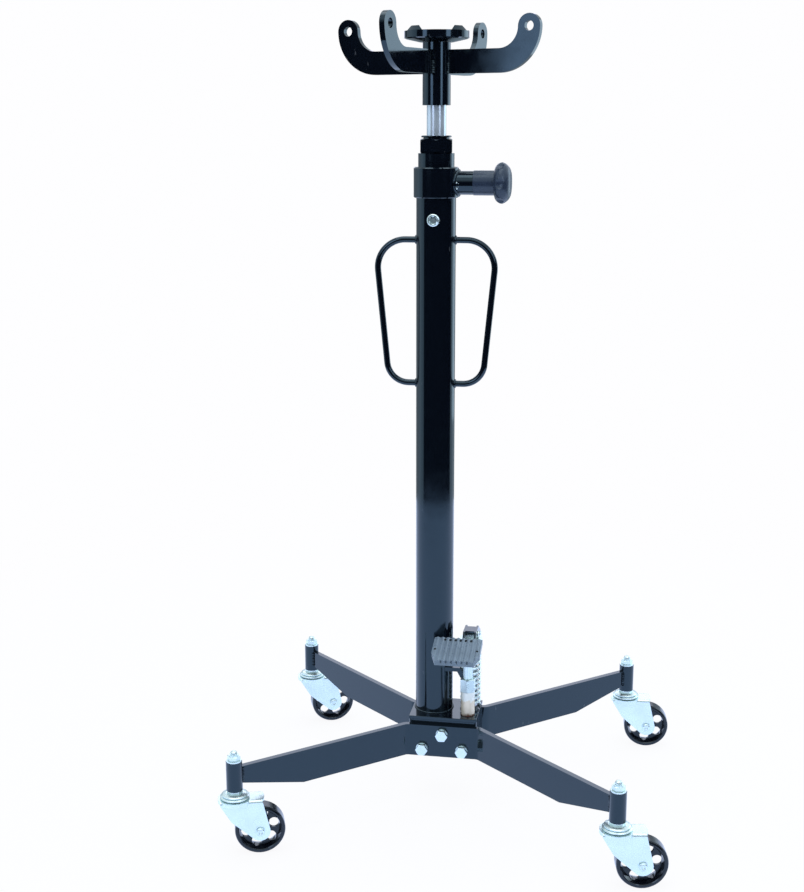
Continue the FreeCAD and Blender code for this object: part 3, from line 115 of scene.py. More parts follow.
class Graph:
    """A material's node tree, with short calls for the nodes that the finishes share."""

    def __init__(self, name: str) -> None:
        """Starts a material with one Principled shader.

        Args:
            name: The material's name.
        """
        self.material = bpy.data.materials.new(name)
        self.material.use_nodes = True
        self.tree = self.material.node_tree
        self.shader = self.tree.nodes["Principled BSDF"]
        self.place = self.tree.nodes.new("ShaderNodeTexCoord").outputs["Object"]

    def noise(self, scale: float, detail: float, stretch: Sequence[float] = (1, 1, 1)) -> Socket:
        """Noise in object space.

        Args:
            scale: Features per metre.
            detail: Octaves.
            stretch: Scale along each axis.

        Returns:
            The noise value's socket.
        """
        mapping = self.tree.nodes.new("ShaderNodeMapping")
        mapping.inputs["Scale"].default_value = stretch
        self.tree.links.new(self.place, mapping.inputs["Vector"])
        node = self.tree.nodes.new("ShaderNodeTexNoise")
        node.inputs["Scale"].default_value = scale
        node.inputs["Detail"].default_value = detail
        self.tree.links.new(mapping.outputs["Vector"], node.inputs["Vector"])
        return node.outputs["Fac"]

    def ramp(self, value: Socket, stops: Sequence[tuple[float, Sequence[float]]]) -> Socket:
        """Maps a value to a colour.

        Args:
            value: The value from 0 to 1.
            stops: Positions with linear colours.

        Returns:
            The colour's socket.
        """
        node = self.tree.nodes.new("ShaderNodeValToRGB")
        set_stops(node, stops)
        self.tree.links.new(value, node.inputs["Fac"])
        return node.outputs["Color"]

    def span(self, value: Socket, low: float, high: float, start: float, end: float) -> Socket:
        """Maps a value between two limits.

        Args:
            value: The value to map.
            low: Result at the start value.
            high: Result at the end value.
            start: Lower input limit.
            end: Upper input limit.

        Returns:
            The mapped value's socket.
        """
        node = self.tree.nodes.new("ShaderNodeMapRange")
        numbers = (("From Min", start), ("From Max", end), ("To Min", low), ("To Max", high))
        for name, number in numbers:
            node.inputs[name].default_value = number
        self.tree.links.new(value, node.inputs["Value"])
        return node.outputs["Result"]

    def bump(self, height: Socket, depth: float, strength: float) -> None:
        """Adds surface relief, on top of any already there.

        Args:
            height: The height value.
            depth: Depth in metres.
            strength: How much of it shows.
        """
        node = self.tree.nodes.new("ShaderNodeBump")
        node.inputs["Distance"].default_value = depth
        node.inputs["Strength"].default_value = strength
        self.tree.links.new(height, node.inputs["Height"])
        normal = self.shader.inputs["Normal"]
        if normal.links:
            self.tree.links.new(normal.links[0].from_socket, node.inputs["Normal"])
        self.tree.links.new(node.outputs["Normal"], normal)

    def along(self, axis: str) -> Socket:
        """The place along one axis of object space, in metres.

        Args:
            axis: The axis, X, Y or Z.

        Returns:
            The place's socket.
        """
        split = self.tree.nodes.new("ShaderNodeSeparateXYZ")
        self.tree.links.new(self.place, split.inputs[0])
        return split.outputs[axis]

    def add(self, first: Socket, second: Socket) -> Socket:
        """Adds two values.

        Args:
            first: One value.
            second: The other value.

        Returns:
            The sum's socket.
        """
        node = self.tree.nodes.new("ShaderNodeMath")
        self.tree.links.new(first, node.inputs[0])
        self.tree.links.new(second, node.inputs[1])
        return node.outputs[0]

    def drive(self, name: str, value: Socket) -> None:
        """Links a value to one of the shader's inputs."""
        self.tree.links.new(value, self.shader.inputs[name])

    def fix(self, name: str, value: object) -> None:
        """Sets a constant on one of the shader's inputs."""
        self.shader.inputs[name].default_value = value


@dataclass(frozen=True)
class Paint:
    """Glossy enamel over steel, with faint orange peel and a few pale scuffs."""

    name: str
    colour: Triple
    sheen: Triple = (0.56, 0.83, 1.0)
    ior: float = 1.62
    gloss: float = 0.07
    gloss_spread: float = 0.08
    gloss_scale: float = 45.0
    gloss_limits: Pair = (0.35, 0.8)
    peel: float = 0.00002
    peel_scale: float = 380.0
    peel_strength: float = 0.2
    scuff_scale: float = 150.0
    scuff_stretch: Triple = (1.0, 1.0, 0.35)
    scuff_limits: Pair = (0.74, 0.77)
    scuff_gain: float = 3.0
    scuff_lift: float = 0.05

    def build(self) -> bpy.types.Material:
        """Makes the material.

        Returns:
            The material.
        """
        graph = Graph(self.name)
        scuffs = graph.noise(self.scuff_scale, detail=2.0, stretch=self.scuff_stretch)
        pale = tuple(c * self.scuff_gain + self.scuff_lift for c in self.colour)
        sound, scuffed = self.scuff_limits
        stops = [(0.0, self.colour), (sound, self.colour), (scuffed, pale)]
        graph.drive("Base Color", graph.ramp(scuffs, stops))
        cloud = graph.noise(self.gloss_scale, detail=5.0)
        dullest = self.gloss + self.gloss_spread
        graph.drive("Roughness", graph.span(cloud, self.gloss, dullest, *self.gloss_limits))
        graph.fix("IOR", self.ior)
        graph.fix("Specular Tint", (*self.sheen, 1.0))
        peel = graph.noise(self.peel_scale, detail=2.0)
        graph.bump(peel, self.peel, self.peel_strength)
        return graph.material


@dataclass(frozen=True)
class Metal:
    """Bare or plated metal, with fine grain and blotches in its gloss."""

    name: str
    colour: Triple
    rough: float
    spread: float = 0.12
    metallic: float = 1.0
    grain: float = 0.00001
    grain_scale: float = 260.0
    grain_limits: Pair = (0.3, 0.75)
    grain_strength: float = 0.25
    stretch: Triple = (1.0, 1.0, 1.0)
    blotch_scale: float = 28.0
    blotch_limits: Pair = (0.3, 0.65)
    blotch_shade: float = 0.9

    def build(self) -> bpy.types.Material:
        """Makes the material.

        Returns:
            The material.
        """
        graph = Graph(self.name)
        graph.fix("Metallic", self.metallic)
        blotch = graph.noise(self.blotch_scale, detail=4.0)
        dull = tuple(c * self.blotch_shade for c in self.colour)
        stops = list(zip(self.blotch_limits, (dull, self.colour)))
        graph.drive("Base Color", graph.ramp(blotch, stops))
        fine = graph.noise(self.grain_scale, detail=4.0, stretch=self.stretch)
        roughest = self.rough + self.spread
        graph.drive("Roughness", graph.span(fine, self.rough, roughest, *self.grain_limits))
        graph.bump(fine, self.grain, self.grain_strength)
        return graph.material


@dataclass(frozen=True)
class StainedCasting:
    """Pale plated casting with a tan stain between two heights and rust at its foot."""

    name: str
    pale: Triple
    tan: Triple
    rust: Triple
    foot: float
    top: float
    rust_end: float = 0.05
    tan_limits: Pair = (0.12, 0.62)
    pale_start: float = 0.68
    wander: float = 0.08
    wander_scale: float = 120.0
    noise_limits: Pair = (0.3, 0.7)
    metallic: float = 0.35
    rough_limits: Pair = (0.3, 0.5)
    rough_scale: float = 90.0
    grain: float = 0.00003
    grain_scale: float = 240.0
    grain_strength: float = 0.3

    def build(self) -> bpy.types.Material:
        """Makes the material.

        Returns:
            The material.
        """
        graph = Graph(self.name)
        height = graph.span(graph.along("Z"), 0.0, 1.0, self.foot, self.top)
        waves = graph.noise(self.wander_scale, detail=5.0)
        drift = graph.span(waves, -self.wander, self.wander, *self.noise_limits)
        tan_start, tan_end = self.tan_limits
        stops = [(0.0, self.rust), (self.rust_end, self.rust), (tan_start, self.tan),
                 (tan_end, self.tan), (self.pale_start, self.pale)]
        graph.drive("Base Color", graph.ramp(graph.add(height, drift), stops))
        graph.fix("Metallic", self.metallic)
        cloud = graph.noise(self.rough_scale, detail=4.0)
        graph.drive("Roughness", graph.span(cloud, *self.rough_limits, *self.noise_limits))
        grain = graph.noise(self.grain_scale, detail=4.0)
        graph.bump(grain, self.grain, self.grain_strength)
        return graph.material


@dataclass(frozen=True)
class Plastic:
    """Moulded plastic, rubber or a matt casting with a fine grain."""

    name: str
    colour: Triple
    rough: float
    grain: float = 0.00002
    grain_scale: float = 900.0
    grain_strength: float = 0.3
    sheen: Triple = (0.75, 0.9, 1.0)
    cloud_scale: float = 40.0
    cloud_limits: Pair = (0.35, 0.8)
    wear_gain: float = 1.25
    wear_lift: float = 0.003
    smoother: float = 0.05
    rougher: float = 0.07
    rough_scale: float = 160.0
    rough_limits: Pair = (0.3, 0.8)

    def build(self) -> bpy.types.Material:
        """Makes the material.

        Returns:
            The material.
        """
        graph = Graph(self.name)
        cloud = graph.noise(self.cloud_scale, detail=4.0)
        worn = tuple(c * self.wear_gain + self.wear_lift for c in self.colour)
        stops = list(zip(self.cloud_limits, (self.colour, worn)))
        graph.drive("Base Color", graph.ramp(cloud, stops))
        rubbed = graph.noise(self.rough_scale, detail=4.0)
        low, high = self.rough - self.smoother, self.rough + self.rougher
        graph.drive("Roughness", graph.span(rubbed, low, high, *self.rough_limits))
        graph.fix("Specular Tint", (*self.sheen, 1.0))
        grain = graph.noise(self.grain_scale, detail=3.0)
        graph.bump(grain, self.grain, self.grain_strength)
        return graph.material


FINISHES = {
    Slot.PAINT: Paint("gloss_black_enamel", (0.0025, 0.004, 0.008)),
    Slot.CHROME: Metal("hard_chrome", (0.8, 0.9, 1.0), 0.18, 0.03, metallic=0.5,
                       grain=0.000001, grain_scale=180.0, stretch=(1, 1, 0.05)),
    Slot.ZINC: Metal("bright_zinc", (0.73, 0.87, 0.88), 0.26, 0.1, metallic=0.9, grain=0.000005),
    Slot.STEEL: Metal("turned_steel", (0.6, 0.62, 0.65), 0.25, 0.12,
                      grain_scale=500.0, stretch=(0.1, 0.1, 1.0)),
    Slot.BRASS: StainedCasting("plated_valve", pale=(0.86, 0.9, 0.88), tan=(0.78, 0.7, 0.58),
                               rust=(0.2, 0.09, 0.06), foot=139.5 * MM, top=176.5 * MM),
    Slot.KNOB: Plastic("knob_moulding", (0.024, 0.036, 0.065), 0.3),
    Slot.WHEEL: Plastic("wheel_moulding", (0.004, 0.005, 0.009), 0.16),
    Slot.PEDAL: Plastic("pedal_casting", (0.14, 0.185, 0.24), 0.3, grain=0.00004),
    Slot.SEAL: Plastic("seal_rubber", (0.01, 0.01, 0.01), 0.5),
    Slot.RING: Plastic("bearing_plastic", (0.6, 0.57, 0.48), 0.4),
}
# Near-black matt finish for the discs in the pedal's tread holes: painted shade, not the pedal's
# own colour.
HOLE_SHADOW = Plastic("hole_shadow", (0.001, 0.0015, 0.0025), 0.8)


# Studio


class StudioTree:
    """Short calls for the node trees of the world and the floor."""

    def __init__(self, tree: bpy.types.NodeTree) -> None:
        """Keeps the tree."""
        self.tree = tree

    def node(self, kind: str, *inputs: object) -> bpy.types.Node:
        """Adds a node.

        Args:
            kind: The node's type.
            inputs: Sockets or constants for its first inputs.

        Returns:
            The node.
        """
        made = self.tree.nodes.new(kind)
        for socket, value in zip(made.inputs, inputs):
            if isinstance(value, Socket):
                self.tree.links.new(value, socket)
            else:
                socket.default_value = value
        return made

    def product(self, first: Socket, second: object) -> Socket:
        """Multiplies two values, with the result kept between 0 and 1.

        Args:
            first: One value.
            second: The other value's socket, or a number.

        Returns:
            The product's socket.
        """
        made = self.node("ShaderNodeMath", first, second)
        made.operation = "MULTIPLY"
        made.use_clamp = True
        return made.outputs[0]

    def bands(self, value: Socket, stops: Sequence[Pair], tint: Triple) -> Socket:
        """Maps a value to a tint at given strengths.

        Args:
            value: The value from 0 to 1.
            stops: Positions with strengths.
            tint: The colour at strength 1.

        Returns:
            The colour's socket.
        """
        made = self.node("ShaderNodeValToRGB", value)
        set_stops(made, [(position, [c * strength for c in tint]) for position, strength in stops])
        return made.outputs[0]

    def blend(self, share: Socket, first: Socket, second: Triple) -> Socket:
        """Blends a colour towards a constant one.

        Args:
            share: The second colour's share.
            first: The first colour.
            second: The second colour.

        Returns:
            The blended colour's socket.
        """
        made = self.node("ShaderNodeMix")
        made.data_type = "RGBA"
        factor, colour, target = (next(s for s in made.inputs if s.name == name and s.enabled)
                                  for name in ("Factor", "A", "B"))
        self.tree.links.new(share, factor)
        self.tree.links.new(first, colour)
        target.default_value = (*second, 1.0)
        return next(s for s in made.outputs if s.enabled)


@dataclass(frozen=True)
class SoftBox:
    """A rectangular lamp that faces a point."""

    name: str
    place: Triple
    aim: Triple
    size: Pair
    power: float
    colour: Triple = (1, 1, 1)

    def light(self) -> None:
        """Hangs the lamp in the scene."""
        data = bpy.data.lights.new(self.name, "AREA")
        data.shape = "RECTANGLE"
        data.size, data.size_y = self.size
        data.energy = self.power
        data.color = self.colour
        lamp = bpy.data.objects.new(self.name, data)
        bpy.context.scene.collection.objects.link(lamp)
        lamp.location = self.place
        direction = Vector(self.aim) - Vector(self.place)
        lamp.rotation_euler = direction.to_track_quat("-Z", "Y").to_euler()


SOFT_BOXES = (
    SoftBox("left_strip", (-1.13, -1.88, 1.66), (0, 0, 1.66), (0.74, 1.26), 8.5, (0.66, 0.76, 1)),
    SoftBox("right_strip", (1.53, -1.29, 1.66), (0, 0, 1.66), (0.56, 1.26), 7.0, (0.7, 0.8, 1)),
    SoftBox("right_box", (1.62, 1.68, 1.05), (0, 0, 1.05), (1.2, 1.9), 10.5, (0.7, 0.87, 1)),
    SoftBox("back_glow", (-0.45, 3.3, 1.65), (0, 0, 0.6), (3.4, 1.0), 14, (0.8, 0.78, 1)),
    SoftBox("top_box", (0.0, -0.2, 3.0), (0, 0, 0.5), (2.4, 2.4), 28),
)


@dataclass
class Studio:
    """Pale floor and backdrop, a dark room in front, soft boxes and the camera."""

    image_height: float = 892.0
    focal_px: float = 1426.05
    sensor: float = 36.0
    far_clip: float = 50.0
    eye: Triple = (0.3087, -2.0103, 1.0095)
    azimuth: float = 10.10
    pitch: float = 12.84
    roll: float = -0.09
    white: Triple = (0.99, 0.99, 1.0)
    room_tint: Triple = (0.7, 0.86, 1.0)
    room_front: Triple = (0.3624, -0.932, 0.0)
    wall_bands: tuple[Pair, ...] = ((0.03, 0.35), (0.2, 0.8), (0.28, 1.05), (0.47, 0.9),
                                      (0.52, 0.8), (0.536, 0.012))
    sky_tint: Triple = (0.86, 0.95, 1.0)
    sky_rise: Pair = (0.16, 0.5)
    floor_radius: float = 1.75
    floor_sides: int = 96
    floor_drop: float = 0.0005
    floor_paint: Triple = (0.84, 0.87, 0.92)
    floor_rough: float = 0.7
    floor_shine: Triple = (1.05, 1.27, 1.9)
    shine_share: float = 0.6
    fade_reach: Pair = (0.45, 1.5)
    fade_share: Pair = (0.93, 1.0)

    def camera(self) -> None:
        """Puts the camera where the photograph was taken from."""
        data = bpy.data.cameras.new("photo_camera")
        data.sensor_fit = "VERTICAL"
        data.sensor_height = self.sensor
        data.lens = self.focal_px * self.sensor / self.image_height
        data.clip_end = self.far_clip
        view = bpy.data.objects.new("photo_camera", data)
        bpy.context.scene.collection.objects.link(view)
        turn = Matrix.Rotation(math.radians(self.azimuth), 4, "Z")
        tilt = Matrix.Rotation(math.radians(90 - self.pitch), 4, "X")
        level = Matrix.Rotation(math.radians(self.roll), 4, "Z")
        view.matrix_world = Matrix.Translation(self.eye) @ turn @ tilt @ level
        bpy.context.scene.camera = view

    def world(self) -> None:
        """Makes a room, dark in front and pale behind and above, and near white to the camera."""
        world = bpy.data.worlds.new("studio_world")
        world.use_nodes = True
        room = StudioTree(world.node_tree)
        place = room.node("ShaderNodeTexCoord").outputs["Generated"]
        facing = room.node("ShaderNodeVectorMath", place, self.room_front)
        facing.operation = "DOT_PRODUCT"
        share = room.node("ShaderNodeMapRange", facing.outputs["Value"], -1.0, 1.0)
        walls = room.bands(share.outputs["Result"], self.wall_bands, self.room_tint)
        rise = room.node("ShaderNodeSeparateXYZ", place).outputs["Z"]
        above = room.node("ShaderNodeMapRange", rise, *self.sky_rise).outputs["Result"]
        lit = room.node("ShaderNodeBackground", room.blend(above, walls, self.sky_tint))
        seen = room.node("ShaderNodeBackground", (*self.white, 1.0))
        camera_ray = room.node("ShaderNodeLightPath").outputs["Is Camera Ray"]
        mix = room.node("ShaderNodeMixShader", camera_ray, lit.outputs[0], seen.outputs[0])
        room.tree.links.new(mix.outputs[0], room.tree.nodes["World Output"].inputs["Surface"])
        bpy.context.scene.world = world

    def floor_material(self) -> bpy.types.Material:
        """Makes the floor's paint.

        It fades into the backdrop for the camera and shines a little in glossy paint.

        Returns:
            The material.
        """
        material = bpy.data.materials.new("studio_floor")
        material.use_nodes = True
        ground = StudioTree(material.node_tree)
        shader = ground.tree.nodes["Principled BSDF"]
        shader.inputs["Base Color"].default_value = (*self.floor_paint, 1)
        shader.inputs["Roughness"].default_value = self.floor_rough
        place = ground.node("ShaderNodeTexCoord").outputs["Object"]
        reach = ground.node("ShaderNodeVectorMath", place)
        reach.operation = "LENGTH"
        far = ground.node("ShaderNodeMapRange", reach.outputs["Value"],
                          *self.fade_reach, *self.fade_share)
        path = ground.node("ShaderNodeLightPath")
        seen = ground.product(path.outputs["Is Camera Ray"], far.outputs["Result"])
        mirrored = ground.product(path.outputs["Is Glossy Ray"], self.shine_share)
        glow = ground.node("ShaderNodeEmission", (*self.white, 1.0))
        shine = ground.node("ShaderNodeEmission", (*self.floor_shine, 1.0))
        under = ground.node("ShaderNodeMixShader", mirrored, shader.outputs[0], shine.outputs[0])
        mix = ground.node("ShaderNodeMixShader", seen, under.outputs[0], glow.outputs[0])
        output = ground.tree.nodes["Material Output"]
        ground.tree.links.new(mix.outputs[0], output.inputs["Surface"])
        return material

    def floor(self) -> None:
        """Lays a round floor just below the wheels."""
        mesh = bmesh.new()
        bmesh.ops.create_circle(mesh, cap_ends=True, segments=self.floor_sides,
                                radius=self.floor_radius)
        data = bpy.data.meshes.new("studio_floor")
        mesh.to_mesh(data)
        mesh.free()
        floor = bpy.data.objects.new("studio_floor", data)
        floor.location = (0, 0, -self.floor_drop)
        bpy.context.scene.collection.objects.link(floor)
        data.materials.append(self.floor_material())

    def build(self) -> None:
        """Sets up the whole studio."""
        bpy.context.scene.view_settings.view_transform = "Standard"
        self.world()
        self.floor()
        self.camera()
        for box in SOFT_BOXES:
            box.light()


# CAD nodes that stay in view


@dataclass
class CadDressing:
    """Gives every CAD node its finish, and the pressed top plate softly broken edges."""

    pressed: tuple[str, ...] = ("top_plate",)
    seam: float = 2e-6
    edge_width: float = 0.6 * MM
    edge_steps: int = 2
    edge_angle: float = 35.0
    slots: dict[str, str] = field(init=False)
    finishes: dict[str, bpy.types.Material] = field(init=False)

    def __post_init__(self) -> None:
        """Reads each node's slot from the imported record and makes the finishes."""
        subparts = frame["record"]["subparts"]
        self.slots = {part["node"]: part["material_slot"] for part in subparts}
        self.finishes = {slot.value: finish.build() for slot, finish in FINISHES.items()}

    def break_edges(self, node: bpy.types.Object) -> None:
        """Rounds a node's sharp edges with modifiers.

        Args:
            node: The CAD node.
        """
        weld = node.modifiers.new("join_seams", "WELD")
        weld.merge_threshold = self.seam
        bevel = node.modifiers.new("broken_edges", "BEVEL")
        bevel.width = self.edge_width
        bevel.segments = self.edge_steps
        bevel.limit_method = "ANGLE"
        bevel.angle_limit = math.radians(self.edge_angle)
        bevel.use_clamp_overlap = True
        bevel.face_strength_mode = "FSTR_ALL"
        even = node.modifiers.new("even_shading", "WEIGHTED_NORMAL")
        even.keep_sharp = False
        even.use_face_influence = True

    def dress(self) -> None:
        """Puts a finish on every node and breaks the edges of the pressed ones."""
        for name, node in frame["nodes"].items():
            data = node.data
            data.materials.clear()
            data.materials.append(self.finishes[self.slots[name]])
            if name in self.pressed:
                self.break_edges(node)
            LOG.info("%s gets %s", name, data.materials[0].name)


# Shapes


class Form:
    """A mesh being made with bmesh operators, in metres."""

    def __init__(self) -> None:
        """Starts empty."""
        self.mesh = bmesh.new()

    def revolve(self, profile: Sequence[Pair], steps: int) -> "Form":
        """Turns a profile once round the upright axis.

        Args:
            profile: Radius and height of each point.
            steps: Facets round the turn.

        Returns:
            This form.
        """
        points = [self.mesh.verts.new((radius, 0, height)) for radius, height in profile]
        edges = [self.mesh.edges.new(pair) for pair in zip(points, points[1:])]
        bmesh.ops.spin(self.mesh, geom=points + edges, axis=(0, 0, 1), cent=(0, 0, 0),
                       steps=steps, angle=FULL_TURN, use_merge=True)
        return self

    def circle(self, place: Matrix, radius: float, sides: int) -> list[bmesh.types.BMVert]:
        """Adds a circle of edges and gives its points."""
        return bmesh.ops.create_circle(self.mesh, segments=sides, radius=radius,
                                       matrix=place)["verts"]

    def bridge(self, circles: Sequence[Sequence[bmesh.types.BMVert]], closed: bool) -> "Form":
        """Joins circles into a skin.

        Args:
            circles: The points of each circle.
            closed: Whether the last circle joins the first; both are capped if not.

        Returns:
            This form.
        """
        loops = [list({edge for vert in verts for edge in vert.link_edges}) for verts in circles]
        pairs = list(zip(loops, loops[1:]))
        if closed:
            pairs.append((loops[-1], loops[0]))
        for pair in pairs:
            bmesh.ops.bridge_loops(self.mesh, edges=pair[0] + pair[1])
        if not closed:
            bmesh.ops.holes_fill(self.mesh, edges=loops[0] + loops[-1], sides=len(loops[0]))
        return self

    def tube(self, stations: Sequence[Matrix], radii: Sequence[float], sides: int,
             closed: bool) -> "Form":
        """Bridges circles that stand along a path.

        Args:
            stations: Place of each circle, with Z along the path.
            radii: Radius of each circle.
            sides: Facets round the tube.
            closed: Whether the last circle joins the first.

        Returns:
            This form.
        """
        circles = [self.circle(place, radius, sides) for place, radius in zip(stations, radii)]
        return self.bridge(circles, closed)

    def stack(self, rings: Sequence[Triple], sides: int = 60) -> "Form":
        """Bridges rings that stand above each other, each round or drawn towards a hexagon.

        Args:
            rings: Radius, height and hexagon share of each ring; the radius of a hexagon is
                to its flats.
            sides: Facets round a ring.

        Returns:
            This form.
        """
        circles = []
        for radius, height, share in rings:
            verts = self.circle(Matrix.Translation((0, 0, height)), radius, sides)
            for vert in verts:
                turn = math.atan2(vert.co.y, vert.co.x) % (math.pi / 3) - math.pi / 6
                swell = 1 + share * (1 / math.cos(turn) - 1)
                vert.co.x *= swell
                vert.co.y *= swell
            circles.append(verts)
        return self.bridge(circles, closed=False)

    def ball(self, place: Vector, radius: float) -> "Form":
        """Adds a small ball."""
        bmesh.ops.create_icosphere(self.mesh, subdivisions=2, radius=radius,
                                   matrix=Matrix.Translation(place))
        return self

    def plug(self, matrix: Matrix, radius: float, depth: float) -> "Form":
        """Adds a short cylinder, centred on a place."""
        bmesh.ops.create_cone(self.mesh, cap_ends=True, segments=24, radius1=radius,
                              radius2=radius, depth=depth, matrix=matrix)
        return self

    def move(self, matrix: Matrix) -> "Form":
        """Moves everything made so far."""
        bmesh.ops.transform(self.mesh, matrix=matrix, verts=self.mesh.verts)
        return self

    def finish(self, name: str, body: Body, material: bpy.types.Material, slot: Slot,
               smooth: float = 40.0) -> bpy.types.Object:
        """Turns the form into a piece that rides on a body.

        Args:
            name: The piece's name.
            body: The body it rides on.
            material: Its finish.
            slot: Its slot in the record; not used.
            smooth: Sharpest angle in degrees that is shaded smooth.

        Returns:
            The piece.
        """
        bmesh.ops.remove_doubles(self.mesh, verts=self.mesh.verts, dist=SAME_POINT)
        bmesh.ops.recalc_face_normals(self.mesh, faces=self.mesh.faces)
        for face in self.mesh.faces:
            face.smooth = True
        for edge in self.mesh.edges:
            if len(edge.link_faces) == 2 and edge.calc_face_angle() > math.radians(smooth):
                edge.smooth = False
        data = bpy.data.meshes.new(name)
        self.mesh.to_mesh(data)
        self.mesh.free()
        data.materials.append(material)
        piece = bpy.data.objects.new(name, data)
        bpy.context.scene.collection.objects.link(piece)
        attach(piece, body.value)
        LOG.info("%s: %d faces", name, len(data.polygons))
        return piece


def stations_along(path: Sequence[Vector], closed: bool) -> list[Matrix]:
    """Frames at the points of a path, with Z along it.

    Args:
        path: The points.
        closed: Whether the last point leads to the first.

    Returns:
        One frame for each point.
    """
    count = len(path)
    frames = []
    for i, point in enumerate(path):
        ahead = path[(i + 1) % count] if closed or i + 1 < count else point
        behind = path[i - 1] if closed or i else point
        turn = (ahead - behind).normalized().to_track_quat("Z", "Y").to_matrix().to_4x4()
        frames.append(Matrix.Translation(point) @ turn)
    return frames


def between(start: Vector, end: Vector, step: float) -> list[Vector]:
    """Points at about one step apart along a straight line."""
    count = max(2, round((end - start).length / step))
    return [start.lerp(end, i / count) for i in range(count + 1)]


def on_circle(axis: Vector, radius: float, turn: float, height: float) -> Vector:
    """The point at a turn in radians round an upright axis."""
    return Vector((axis.x + radius * math.cos(turn), axis.y + radius * math.sin(turn), height))


def ring_on_tube(bar: float, tube: float, centre: Vector, side: int, count: int) -> list[Vector]:
    """The closed line where a bar that lies along X meets an upright tube.

    Args:
        bar: The bar's radius.
        tube: The tube's radius.
        centre: Where the two axes cross.
        side: Which side of the tube, 1 or -1.
        count: Points round the line.

    Returns:
        The points.
    """
    points = []
    for i in range(count):
        turn = FULL_TURN * i / count
        across, up = bar * math.cos(turn), bar * math.sin(turn)
        out = side * math.sqrt(tube ** 2 - across ** 2)
        points.append(centre + Vector((out, across, up)))
    return points


# Welds


@dataclass(frozen=True)
class WeldBead:
    """A run of weld with its ripples."""

    radius: float
    ripple: float = 0.10
    pitch: float = 1.6 * MM
    sides: int = 12
    wander: float = 0.03
    settling: float = 0.2

    def lay(self, path: Sequence[Vector], closed: bool, seed: int) -> Form:
        """Lays the bead along a path.

        Args:
            path: Points along its middle, about a quarter of a ripple apart.
            closed: Whether it runs into its own start.
            seed: Start of its random unevenness.

        Returns:
            The bead's form.
        """
        chance = random.Random(seed)
        run = 0.0
        swell = 1.0
        radii = []
        for i, point in enumerate(path):
            run += (point - path[i - 1]).length if i else 0.0
            wave = (run / self.pitch) % 1.0
            swell += chance.uniform(-self.wander, self.wander) + (1.0 - swell) * self.settling
            radii.append(self.radius * (swell + self.ripple * (0.5 - wave)))
        return Form().tube(stations_along(path, closed), radii, self.sides, closed)


